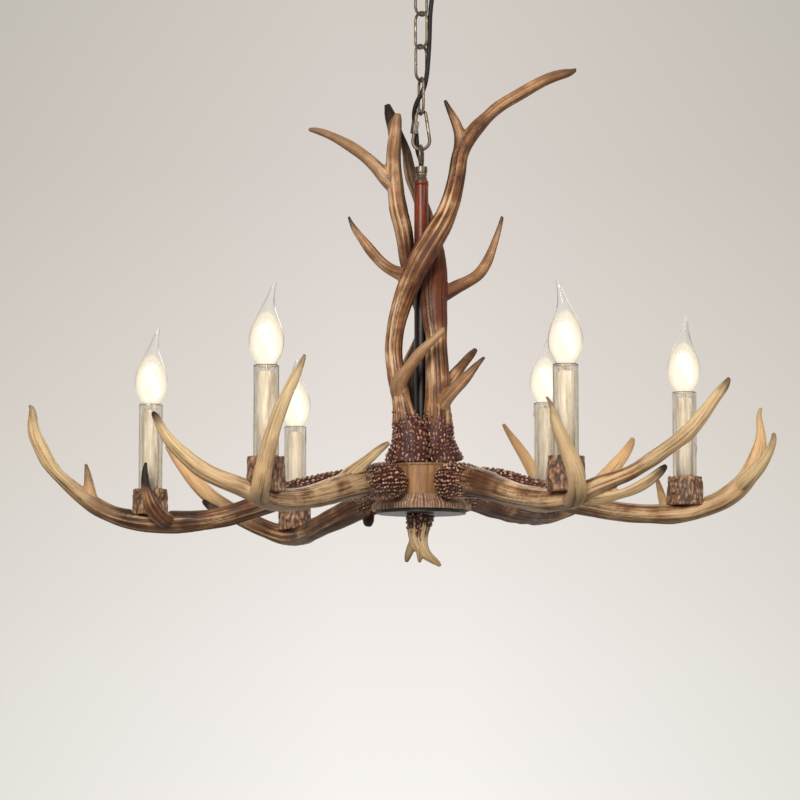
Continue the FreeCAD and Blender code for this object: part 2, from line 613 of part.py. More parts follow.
def make_hub():
    pipe = PIPE_RADIUS + THREAD_GAP
    drum_top, neck, foot = at_hub(TOP_PLATE_Z), at_hub(SKIRT_NECK_Z), at_hub(SKIRT_BOTTOM_Z)
    plate = tube(DRUM_RADIUS + TOP_PLATE_OVERHANG, pipe, drum_top, drum_top + TOP_PLATE_THICK)
    write("hub_top_plate", plate)

    drum = tube(DRUM_RADIUS, DRUM_RADIUS - DRUM_WALL, neck, drum_top)
    axis_point = V(0, 0, at_hub(ARM_ROOT_Z))
    for name in ARMS:
        out = arm_direction(name)
        port = Part.makeCylinder(TUBE_RADIUS + THREAD_GAP, DRUM_RADIUS + 2, axis_point, out)
        seat = Part.makeCylinder(ARM_NUT_FLATS / math.sqrt(3) + 0.5, nut_seat(), axis_point, out)
        drum = drum.cut(port).cut(seat)
    write("hub_drum", one_solid(drum))

    inner_top = neck - SKIRT_WALL - 1
    inner_radius = SKIRT_RADIUS - SKIRT_WALL
    skirt = revolved([(pipe, neck)] + skirt_top() + [
        (SKIRT_RADIUS, foot), (inner_radius, foot), (inner_radius, foot + 3),
        (DRUM_RADIUS - 3, inner_top), (pipe, inner_top),
    ])
    write("hub_skirt", skirt)

    plate_bottom = foot - BOTTOM_PLATE_THICK
    plate = tube(BOTTOM_PLATE_RADIUS, pipe, plate_bottom, foot)
    spacer = tube(PIPE_RADIUS + 4, pipe, foot, inner_top)
    write("hub_bottom_plate", plate.fuse(spacer).removeSplitter())

    above = drum_top + TOP_PLATE_THICK
    write("stem_nuts", hex_nut(STEM_NUT_FLATS, pipe, above, above + NUT_THICK),
          hex_nut(STEM_NUT_FLATS, pipe, plate_bottom - NUT_THICK, plate_bottom))

    finial = antler(FINIAL)
    finial = finial.cut(cylinder(FINIAL_RECESS, plate_bottom - NUT_THICK - 0.5, plate_bottom + 5))
    finial = finial.cut(cylinder(pipe, at_hub(PIPE_END_Z) - 0.5, plate_bottom))
    finial = finial.cut(cylinder(SKIRT_RADIUS, plate_bottom, plate_bottom + 5))
    write("finial_antler", one_solid(finial))


def hub_envelope():
    """All that the antlers must leave free round the stem: pipe, nuts, plates, drum and skirt."""
    above = at_hub(TOP_PLATE_Z + TOP_PLATE_THICK)
    neck = at_hub(SKIRT_NECK_Z)
    below = at_hub(SKIRT_BOTTOM_Z - BOTTOM_PLATE_THICK)
    shape = cylinder(PIPE_RADIUS + THREAD_GAP, neck, cap_top())
    shape = shape.fuse(cylinder(STEM_NUT_FLATS / math.sqrt(3) + 0.3, above - 1, above + NUT_THICK + 0.3))
    shape = shape.fuse(cylinder(DRUM_RADIUS + TOP_PLATE_OVERHANG, at_hub(TOP_PLATE_Z), above))
    shape = shape.fuse(cylinder(DRUM_RADIUS, neck - 1, at_hub(TOP_PLATE_Z)))
    return shape.fuse(revolved([(0, neck)] + skirt_top() + [(SKIRT_RADIUS, below), (0, below)]))


# ---------------------------------------------------------------- antlers on the hub
def tube_route(name, inset=0.0):
    """The steel tube in an arm: radially out of the drum, along the beam and up into the cup."""
    arm = ARMS[name]
    out = arm_direction(name)
    x, y = arm["cup"]
    level = arm["beam"][arm["beam_point"]][2]
    inner = out * (nut_seat() - ARM_NUT_THICK - TUBE_PAST_NUT + inset)
    straight = out * TUBE_STRAIGHT
    points = [(inner.x, inner.y, at_hub(ARM_ROOT_Z)), (straight.x, straight.y, at_hub(ARM_ROOT_Z))]
    for px, py, pz, _ in arm["beam"][5:arm["beam_point"]]:
        points.append((px, py, at_hub(pz)))
    points.append((x, y, at_hub(level)))
    points.append((x, y, at_hub(arm["foot"]) + CUP_FLOOR + 2 * ARM_NUT_THICK - inset))
    return rounded_path(points, {len(points) - 2: TUBE_BEND})[0]


def make_arms():
    envelope = hub_envelope()
    tubes, wires, nuts = [], [], []
    for name, arm in ARMS.items():
        bar = swept(tube_route(name), TUBE_RADIUS)
        bore = swept(tube_route(name), TUBE_BORE)
        shape = antler(arm).cut(envelope).cut(bar)
        x, y = arm["cup"]
        foot = at_hub(arm["foot"])
        shape = shape.cut(cylinder(CUP_FOOT_RADIUS + 0.3, foot, foot + 60, x, y))
        write("arm_antler_" + name, one_solid(shape))
        tubes.append(one_solid(bar.cut(bore)))
        wires.append(swept(tube_route(name, 1.0), WIRE_RADIUS))

        out = arm_direction(name)
        hub_nut = hex_nut(ARM_NUT_FLATS, TUBE_RADIUS + THREAD_GAP, nut_seat() - ARM_NUT_THICK, nut_seat())
        hub_nut.rotate(V(0, 0, 0), V(0, 1, 0), 90)
        hub_nut.rotate(V(0, 0, 0), V(0, 0, 1), math.degrees(math.atan2(out.y, out.x)))
        hub_nut.translate(V(0, 0, at_hub(ARM_ROOT_Z)))
        floor = foot + CUP_FLOOR
        cup_nut = hex_nut(ARM_NUT_FLATS, TUBE_RADIUS + THREAD_GAP, floor, floor + ARM_NUT_THICK)
        nuts += [hub_nut, moved(cup_nut, x, y, 0)]
    stem_lead = cylinder(WIRE_RADIUS, at_hub(ARM_ROOT_Z), cord_end())
    write("arm_tubes", *tubes)
    write("arm_nuts", *nuts)
    write("internal_wires", *wires, stem_lead)


def make_trunks():
    taken = hub_envelope()
    for name, routes in TRUNKS.items():
        shape = one_solid(antler(routes).cut(taken))
        shape = one_solid(shape.cut(cylinder(2 * SKIRT_RADIUS, at_hub(0), at_hub(TOP_PLATE_Z + TOP_PLATE_THICK))))
        write(name, shape)
        taken = taken.fuse(shape)


# ---------------------------------------------------------------- candle lamps
def glass_body(shrink, rise, x, y, foot, bend_turn):
    """The bulb's envelope, drawn in by shrink, as a loft through circles that lean over at the tip."""
    sections = []
    for height, radius, bend in BULB_PROFILE:
        if radius <= shrink + 0.5:
            continue
        sections.append(Part.Wire(Part.makeCircle(radius - shrink, V(bend, 0, height), V(0, 0, 1))))
    body = Part.makeLoft(sections, True, False)
    body.rotate(V(0, 0, 0), V(0, 0, 1), bend_turn)
    body.translate(V(x, y, foot + rise))
    return body


def make_lamps():
    holders = []
    for name, arm in ARMS.items():
        x, y = arm["cup"]
        foot, top = at_hub(arm["foot"]), at_hub(arm["top"])
        floor = foot + CUP_FLOOR
        cup = revolved([(0, foot), (CUP_FOOT_RADIUS, foot), (CUP_TOP_RADIUS, top), (0, top)])
        cup = cup.cut(cylinder(SLEEVE_RADIUS + SLEEVE_GAP, floor, top + 1))
        cup = cup.cut(cylinder(TUBE_RADIUS + THREAD_GAP, foot - 1, floor + 1))
        write("candle_cup_" + name, moved(cup, x, y, 0))

        sleeve_top = top + SLEEVE_ABOVE_CUP
        write("candle_sleeve_" + name,
              tube(SLEEVE_RADIUS, SLEEVE_RADIUS - SLEEVE_WALL, floor, sleeve_top, x, y))

        mouth = sleeve_top - HOLDER_BELOW_TOP
        base = floor + ARM_NUT_THICK
        holder = cylinder(HOLDER_RADIUS, base, mouth).fuse(
            cylinder(HOLDER_RIM, mouth - HOLDER_RIM_HEIGHT, mouth))
        holder = holder.cut(cylinder(SOCKET_RADIUS, mouth - SOCKET_DEPTH, mouth + 1))
        holder = holder.cut(cylinder(TUBE_RADIUS + THREAD_GAP, base - 1, base + ARM_NUT_THICK))
        holders.append(moved(one_solid(holder), x, y, 0))

        glass_foot = mouth + GLASS_SEAT
        bend_turn = BEND_TURNS[name]
        outer = glass_body(0.0, 0.0, x, y, glass_foot, bend_turn)
        inner = glass_body(GLASS_WALL, GLASS_WALL, x, y, glass_foot, bend_turn)
        glass = outer.cut(inner).cut(cylinder(CAP_SCREW_RADIUS, glass_foot - 1, glass_foot + 2, x, y))
        write("bulb_glass_" + name, one_solid(glass))

        contact = glass_foot - CAP_SCREW_LENGTH - 2
        screw = tube(CAP_SCREW_RADIUS, CAP_SCREW_RADIUS - CAP_WALL, glass_foot - CAP_SCREW_LENGTH,
                     glass_foot + 2, x, y)
        end = cylinder(CAP_SCREW_RADIUS, glass_foot - CAP_SCREW_LENGTH, glass_foot - CAP_SCREW_LENGTH + 1, x, y)
        button = cylinder(CAP_CONTACT_RADIUS, contact, glass_foot - CAP_SCREW_LENGTH, x, y)
        post = cylinder(FILAMENT_RADIUS, glass_foot - CAP_SCREW_LENGTH + 1, glass_foot + FILAMENT_TOP, x, y)
        write("bulb_cap_" + name, one_solid(screw.fuse(end).fuse(button).fuse(post)))
    write("lampholders", *holders)


BEND_TURNS = {"left": 30.0, "front_left": 20.0, "rear_left": 75.0, "rear_right": 10.0,
              "front_right": 200.0, "right": 60.0}


# ---------------------------------------------------------------- supply cord
def cord_points():
    """From the terminal block, out of the canopy, down beside and through the chain, into the eye."""
    exit_x, exit_y = CORD_EXIT
    block_bottom = -BAR_THICK - BLOCK_SIZE[2]
    entry = shank_top()
    return [
        (exit_x, exit_y, block_bottom), (exit_x, exit_y, -56), (13.5, -3.5, -82), (9.5, -1.5, -112),
        (9.0, -2.0, -138), (7.6, -2.2, -163), (5.8, -1.6, -183), (2.2, 0.6, -197),
        (-5.2, 3.0, -208.5), (-8.2, 8.0, -221.5), (-5.6, 10.0, -236), (-4.6, 8.6, -250),
        (-3.8, 5.6, entry + 16.5), (0, 0, entry + 6.5), (0, 0, cord_end()),
    ]


def make_cord():
    path, radii = rounded_path(cord_points())
    cord = swept(path, CORD_DIAMETER / 2)
    print("cord length %.1f, bend radii %s" % (path.Length, [round(r) for r in radii]))
    print("cord volume against section times length %.4f"
          % (cord.Volume / (math.pi * CORD_DIAMETER ** 2 / 4 * path.Length)))
    write("supply_cord", cord)


make_ceiling_set()
make_chain()
make_stem()
make_hub()
make_arms()
make_trunks()
make_lamps()
make_cord()
print("chain seats", [round(z, 1) for z in chain_seats()], "eye top", round(eye_top(), 1),
      "pipe top", round(pipe_top(), 1))
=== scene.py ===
"""Antler chandelier: six candle lamps on cast antlers, hung from a short chain."""
import math

import bmesh
import bpy
import numpy as np
from mathutils import Matrix, Vector, noise

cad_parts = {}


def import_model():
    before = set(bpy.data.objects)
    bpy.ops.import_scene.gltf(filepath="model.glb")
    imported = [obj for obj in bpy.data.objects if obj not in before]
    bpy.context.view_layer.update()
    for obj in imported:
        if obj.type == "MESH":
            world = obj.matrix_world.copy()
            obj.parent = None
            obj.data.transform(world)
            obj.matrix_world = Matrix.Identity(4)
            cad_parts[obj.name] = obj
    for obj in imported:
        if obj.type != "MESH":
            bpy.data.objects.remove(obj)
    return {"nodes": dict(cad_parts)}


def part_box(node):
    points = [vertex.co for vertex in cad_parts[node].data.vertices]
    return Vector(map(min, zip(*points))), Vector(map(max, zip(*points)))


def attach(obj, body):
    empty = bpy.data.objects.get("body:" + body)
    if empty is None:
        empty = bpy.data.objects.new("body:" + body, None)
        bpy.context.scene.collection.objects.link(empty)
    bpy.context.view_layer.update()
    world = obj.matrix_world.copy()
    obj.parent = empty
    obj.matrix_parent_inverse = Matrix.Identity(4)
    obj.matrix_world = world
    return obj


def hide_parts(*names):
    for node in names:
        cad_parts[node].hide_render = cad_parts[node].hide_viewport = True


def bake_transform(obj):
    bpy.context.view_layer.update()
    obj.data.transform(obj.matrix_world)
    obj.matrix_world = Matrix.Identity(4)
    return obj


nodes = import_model()["nodes"]
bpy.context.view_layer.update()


# -------- camera, backdrop and light
# A long lens a little below the middle of the fixture, tilted up.  The backdrop is a pale warm grey
# sweep, brighter low down, over a pale floor far below.  Three large soft lamps light it.
FLOOR_RADIUS = 4.5
FLOOR_HEIGHT = -2.6
FILL_STRENGTH = 0.50
LAMP_COLOR = (1.0, 0.965, 0.92)
SOFT_LAMPS = (              # name, place, power, size and the point it is turned to
    ("key lamp", (-0.7, -2.9, 0.7), 78, 1.0, (0, 0, -0.5)),
    ("side lamp", (2.2, -1.9, 0.3), 16, 1.2, (0, 0, -0.5)),
    ("back lamp", (0.3, 2.4, 0.9), 14, 1.6, (0, 0, -0.4)),
)


def placed(name, data):
    """A new object, put in the scene."""
    made = bpy.data.objects.new(name, data)
    bpy.context.scene.collection.objects.link(made)
    return made


def mesh_from(shell):
    """A mesh from a bmesh, which is freed."""
    data = bpy.data.meshes.new("mesh")
    shell.to_mesh(data)
    shell.free()
    return data


def tint(red, green, blue, alpha=1.0):
    """A colour as it shows on a screen, 0 to 255 a channel, as the shaders want it."""
    def straight(value):
        value /= 255
        return value / 12.92 if value <= 0.04045 else ((value + 0.055) / 1.055) ** 2.4
    return (straight(red), straight(green), straight(blue), alpha)


def add(tree, kind, sockets=None, **settings):
    """A new shader node; sockets maps its inputs to a value or to another node's output."""
    node = tree.nodes.new("ShaderNode" + kind)
    for name, value in settings.items():
        setattr(node, name, value)
    for name, value in (sockets or {}).items():
        if isinstance(value, bpy.types.NodeSocket):
            tree.links.new(value, node.inputs[name])
        else:
            node.inputs[name].default_value = value
    return node


def ramp(tree, value, *stops):
    """A colour ramp over a value; each stop is a position and a colour."""
    node = add(tree, "ValToRGB", {"Fac": value})
    steps = node.color_ramp.elements
    steps[0].position, steps[0].color = stops[0]
    steps[1].position, steps[1].color = stops[-1]
    for position, color in stops[1:-1]:
        steps.new(position).color = color
    return node.outputs["Color"]


def blended(tree, factor, first, second, kind="MIX"):
    """Two colours mixed by a factor."""
    node = add(tree, "Mix", data_type="RGBA", blend_type=kind)
    for socket, value in ((node.inputs[0], factor), (node.inputs[6], first), (node.inputs[7], second)):
        if isinstance(value, bpy.types.NodeSocket):
            tree.links.new(value, socket)
        else:
            socket.default_value = value
    return node.outputs[2]


def joined(tree, operation, first, second):
    """Two values put together: added, multiplied, divided, or the greater of them."""
    return add(tree, "Math", {0: first, 1: second}, operation=operation).outputs[0]


def spread(tree, value, low, high, start=0.0, end=1.0):
    """A value's range from low to high stretched to run from start to end."""
    return add(tree, "MapRange", {"Value": value, "From Min": low, "From Max": high,
                                  "To Min": start, "To Max": end}).outputs["Result"]


camera = placed("camera", bpy.data.cameras.new("camera"))
camera.data.sensor_width = 36
camera.data.lens = 132.66
camera.location = (-0.0225, -3.080, -0.855)
camera.rotation_euler = (math.radians(96.08), 0, 0)
bpy.context.scene.camera = camera
bpy.context.scene.view_settings.view_transform = "Standard"

world = bpy.data.worlds.new("studio")
bpy.context.scene.world = world
world.use_nodes = True
sky = world.node_tree
sky.nodes.clear()
direction = add(sky, "SeparateXYZ", {"Vector": add(sky, "TexCoord").outputs["Generated"]}).outputs
sweep = ramp(sky, spread(sky, direction["Z"], -0.05, 0.26),
             (0.0, tint(250, 246, 243)), (0.22, tint(243, 238, 234)), (0.48, tint(230, 223, 217)),
             (0.75, tint(216, 209, 203)), (1.0, tint(208, 202, 195)))
dimmed = blended(sky, 1.0, sweep, tint(226, 227, 222), "MULTIPLY")
aside = add(sky, "Math", {0: direction["X"]}, operation="ABSOLUTE").outputs[0]
backdrop = blended(sky, spread(sky, aside, 0.02, 0.20), sweep, dimmed)
fill = ramp(sky, spread(sky, direction["Z"], -0.5, 0.6), (0.0, tint(122, 114, 106)),
            (0.45, tint(206, 201, 196)), (1.0, tint(252, 251, 250)))
rays = add(sky, "LightPath").outputs
seen = joined(sky, "MAXIMUM", rays["Is Camera Ray"], rays["Is Transmission Ray"])
seen = joined(sky, "MAXIMUM", seen, rays["Is Glossy Ray"])
fill_light = add(sky, "Background", {"Color": fill, "Strength": FILL_STRENGTH})
seen_light = add(sky, "Background", {"Color": backdrop, "Strength": 1.0})
either = add(sky, "MixShader", {0: seen, 1: fill_light.outputs[0], 2: seen_light.outputs[0]})
add(sky, "OutputWorld", {"Surface": either.outputs[0]})

shell = bmesh.new()
bmesh.ops.create_circle(shell, cap_ends=True, segments=96, radius=FLOOR_RADIUS,
                        matrix=Matrix.Translation((0, 0, FLOOR_HEIGHT)))
floor = placed("floor", mesh_from(shell))
floor_paint = bpy.data.materials.new("pale floor")
floor_paint.use_nodes = True
tree = floor_paint.node_tree
tree.nodes.clear()
matte = add(tree, "BsdfDiffuse", {"Color": tint(226, 222, 217)})
clear = add(tree, "BsdfTransparent")
under = add(tree, "NewGeometry").outputs["Backfacing"]
one_sided = add(tree, "MixShader", {0: under, 1: matte.outputs[0], 2: clear.outputs[0]})
add(tree, "OutputMaterial", {"Surface": one_sided.outputs[0]})
floor.data.materials.append(floor_paint)

for label, place, power, size, aim in SOFT_LAMPS:
    lamp = placed(label, bpy.data.lights.new(label, "AREA"))
    lamp.data.energy = power
    lamp.data.size = size
    lamp.data.color = LAMP_COLOR
    lamp.location = place
    lamp.rotation_euler = (Vector(aim) - Vector(place)).to_track_quat("-Z", "Y").to_euler()


# -------- supply cord
# A round black lamp cord.  It leaves the canopy through its grommet, hangs beside the chain, slips
# through the lower links and goes down into the eye's shank.  It is cut into stretches at the heights between
# the swing joints.
CORD_THICK = 0.005
CORD_ROUTE = (
    (19.5, -5.5, -16), (19.5, -5.5, -56), (13.5, -3.5, -82), (9.5, -1.5, -112),
    (9.0, -2.0, -138), (7.6, -2.2, -163), (5.8, -1.6, -183), (2.2, 0.6, -197),
    (-5.2, 3.0, -208.5), (-8.2, 8.0, -221.5), (-5.6, 10.0, -236), (-4.6, 8.6, -250),
    (-3.8, 5.6, -262.3), (0, 0, -272.3), (0, 0, -280.8),
)
CORD_BREAKS = (0.0, -0.0972, -0.1326, -0.1683, -0.2040, -0.2409, -1.0)   # between two swing joints
CORD_BODIES = ("canopy_set", "chain_link_1", "chain_link_2", "chain_link_3", "chain_link_4",
               "quick_link", "fixture")
SWING_HEIGHTS = (-0.0796, -0.1148, -0.1505, -0.1862, -0.2219, -0.25985)


def principled(name, **values):
    """A new material and its shader, with the shader's own sockets set."""
    made = bpy.data.materials.new(name)
    made.use_nodes = True
    shader = made.node_tree.nodes["Principled BSDF"]
    for socket, value in values.items():
        shader.inputs[socket.replace("_", " ")].default_value = value
    return made, made.node_tree, shader


def noise_node(tree, place, scale, detail, rough=0.5):
    """Noise over a place; rough is how strong its finest part is."""
    return add(tree, "TexNoise", {"Vector": place, "Scale": scale, "Detail": detail,
                                  "Roughness": rough}).outputs["Fac"]


def painted(tree, shader, color, height, bump, strength):
    """Links a colour to a shader, and a bump from a height."""
    tree.links.new(color, shader.inputs["Base Color"])
    node = add(tree, "Bump", {"Height": height, "Distance": bump, "Strength": strength})
    tree.links.new(node.outputs["Normal"], shader.inputs["Normal"])


def mottled(name, scale, detail, *stops, bump, strength, drawn=1.0, rough=0.5, **values):
    """A finish coloured and bumped by noise, drawn out along z where drawn is under 1."""
    made, tree, shader = principled(name, **values)
    place = add(tree, "TexCoord").outputs["Object"]
    if drawn < 1:
        place = add(tree, "Mapping", {"Vector": place, "Scale": (1, 1, drawn)}).outputs[0]
    spots = noise_node(tree, place, scale, detail, rough)
    color = ramp(tree, spots, *stops)
    painted(tree, shader, color, spots, bump, strength)
    return made, tree, shader, spots, color


def finished(name, data, *finishes):
    """A piece from its mesh, smooth and in its finishes."""
    for finish in finishes:
        data.materials.append(finish)
    data.shade_smooth()
    return placed(name, data)


def curve_object(name, kind, points):
    """A curve of one open spline through or along the points, in metres."""
    data = bpy.data.curves.new(name, "CURVE")
    data.dimensions = "3D"
    spline = data.splines.new(kind)
    spline.points.add(len(points) - 1)
    for point, at in zip(spline.points, points):
        point.co = (*at, 1)
    if kind == "NURBS":
        spline.order_u = 3
        spline.use_endpoint_u = True
        spline.resolution_u = 10
    return bpy.data.objects.new(name, data)


def mesh_of(source):
    """The mesh that an object shows, curves and modifiers included."""
    bpy.context.scene.collection.objects.link(source)
    bpy.context.view_layer.update()
    shown = source.evaluated_get(bpy.context.evaluated_depsgraph_get())
    data = bpy.data.meshes.new_from_object(shown)
    bpy.data.objects.remove(source)
    return data


cord_sheath, tree, shader, scuffs, _ = mottled(
    "black cord sheath", 260.0, 4.0, (0.35, tint(10, 9, 8)), (0.7, tint(24, 21, 19)),
    bump=0.0002, strength=0.4, Specular_IOR_Level=0.3)
tree.links.new(spread(tree, scuffs, 0.3, 0.7, 0.46, 0.62), shader.inputs["Roughness"])

route = [[value / 1000 for value in point] for point in CORD_ROUTE]
line = [vertex.co.copy() for vertex in mesh_of(curve_object("cord line", "NURBS", route)).vertices]
stretches = zip(CORD_BREAKS, CORD_BREAKS[1:], CORD_BODIES, CORD_BODIES[1:], SWING_HEIGHTS)
for number, (upper, lower, body_above, body_below, swing) in enumerate(stretches, 1):
    stretch = [line[0]] if number == 1 else []
    for first, second in zip(line, line[1:]):
        for level in (upper, lower):
            if first.z > level >= second.z:
                stretch.append(first.lerp(second, (first.z - level) / (first.z - second.z)))
        if upper > second.z > lower:
            stretch.append(second)
    tube = curve_object("cord stretch", "POLY", stretch)
    tube.data.bevel_depth = CORD_THICK / 2
    tube.data.bevel_resolution = 5
    tube.data.use_fill_caps = True
    piece = finished("supply_cord_%d" % number, mesh_of(tube), cord_sheath)
    length = sum((b - a).length for a, b in zip(stretch, stretch[1:]))
    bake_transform(piece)
    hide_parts("supply_cord")


# -------- ceiling set and chain
# Steel crossbar, spun steel canopy with its ring, four wire links, a screw link and the eye over
# the stem.  All that shows is lacquered antique bronze: grey-brown, darker in the hollows.
METAL_BUMP = 0.00012


def look_group(name, colors, numbers=()):
    """A node group with its named inputs, which puts out colour, roughness and height."""
    group = bpy.data.node_groups.new(name, "ShaderNodeTree")
    for labels, side, kind in ((colors, "INPUT", "Color"), (numbers, "INPUT", "Float"),
                               (("Color",), "OUTPUT", "Color"),
                               (("Roughness", "Height"), "OUTPUT", "Float")):
        for label in labels:
            group.interface.new_socket(label, in_out=side, socket_type="NodeSocket" + kind)
    given = group.nodes.new("NodeGroupInput").outputs
    return group, given, group.nodes.new("NodeGroupOutput").inputs


def group_finish(name, group, inputs, bump, strength, **values):
    """A finish whose colour, roughness and bump come from a node group."""
    made, tree, shader = principled(name, **values)
    look = tree.nodes.new("ShaderNodeGroup")
    look.node_tree = group
    for label, value in inputs.items():
        look.inputs[label].default_value = value
    tree.links.new(look.outputs["Roughness"], shader.inputs["Roughness"])
    painted(tree, shader, look.outputs["Color"], look.outputs["Height"], bump, strength)
    return made


def metal_paint(name, metal, worn, dark, patch, metallic):
    """A metal finish with patches of wear and fine dark speckle; patch is their size."""
    inputs = {"Metal": metal, "Worn": worn, "Dark": dark, "Patch Size": patch}
    return group_finish(name, aged_metal, inputs, METAL_BUMP, strength=0.5, Metallic=metallic)


def dress(name, finish):
    """A CAD node keeps its shape and gets its own finish."""
    nodes[name].data.materials.clear()
    nodes[name].data.materials.append(finish)


aged_metal, given, back = look_group("aged metal", ("Metal", "Worn", "Dark"), ("Patch Size",))
place = add(aged_metal, "TexCoord").outputs["Object"]
scale = joined(aged_metal, "DIVIDE", 1.0, given["Patch Size"])
patches = noise_node(aged_metal, place, scale, 6.0, 0.62)
speckle = noise_node(aged_metal, place, joined(aged_metal, "MULTIPLY", scale, 5.0), 3.0)
color = blended(aged_metal, spread(aged_metal, patches, 0.50, 0.68), given["Metal"], given["Worn"])
color = blended(aged_metal, spread(aged_metal, speckle, 0.46, 0.34), color, given["Dark"])
aged_metal.links.new(color, back["Color"])
aged_metal.links.new(spread(aged_metal, patches, 0.0, 1.0, 0.55, 0.30), back["Roughness"])
aged_metal.links.new(speckle, back["Height"])

bronze = metal_paint("antique bronze", tint(112, 98, 84), tint(168, 152, 130), tint(48, 38, 30),
                     patch=0.006, metallic=0.75)
nut_bronze = metal_paint("bronze nut", tint(126, 116, 108), tint(186, 176, 160), tint(58, 48, 42),
                         patch=0.004, metallic=0.8)
zinc = metal_paint("zinc plate", tint(176, 176, 170), tint(206, 205, 198), tint(120, 118, 112),
                   patch=0.01, metallic=0.9)
plastic = mottled("moulded plastic", 120.0, 4.0, (0.3, tint(222, 214, 196)),
                  (0.7, tint(238, 232, 216)), bump=0.0001, strength=0.3, Roughness=0.38)[0]
rubber = mottled("grommet rubber", 300.0, 5.0, (0.35, tint(22, 21, 20)), (0.7, tint(48, 46, 43)),
                 bump=0.0002, strength=0.4, Roughness=0.7)[0]
for name in ("canopy", "canopy_loop", "chain_link_1", "chain_link_2", "chain_link_3",
             "chain_link_4", "quick_link", "hang_eye"):
    dress(name, bronze)
for name in ("ceiling_bracket", "canopy_nipple", "canopy_nuts", "stem_nuts", "arm_tubes",
             "arm_nuts"):
    dress(name, zinc)
dress("quick_link_nut", nut_bronze)
dress("terminal_block", plastic)
dress("cord_grommet", rubber)
dress("internal_wires", cord_sheath)


# -------- antlers
# Antlers cast in resin from real ones and stained by hand: pearled burrs, grooved beams, pale
# rubbed tips.  Each is the CAD antler carved finer along its own grain.
HUB_HEIGHT = -0.622         # of the hub's own origin, which the routes start from
ROUTE_STEP = 0.0025         # between two guide rows
GRAIN_ROUND, GRAIN_DRAWN = 0.012, 24       # the grain's width round an antler, its length along
BROAD_GRAIN, FINE_GRAIN = 0.0068, 0.0042   # size of its waves
ANTLER_GRID = 0.0013        # side of the small quads that an antler is carved in
ANTLER_SMOOTHING = 7        # rounds, before the carving
WELD = 0.000002
LUMP, BROAD_LUMP, GROOVE, RIDGE = 0.0009, 0.00045, 0.00085, 0.00035   # heights of the carving
PEARL, PEARL_BED, RIM_PEARL = 0.0016, 0.0005, 0.0010
PEARL_ROW = 0.0052          # rise of a pearl over the next one in its column
FULLER_TIPS = {             # added to the radius near a blunt tip of an antler's beam or tine
    ("arm_antler_left", 0): 0.0013,
    ("upper_antler_left", 2): 0.0018,
    ("upper_antler_front", 0): 0.0010,
}
STEM_LEAN = 0.009           # the left upper antler's lean towards the pipe, low down

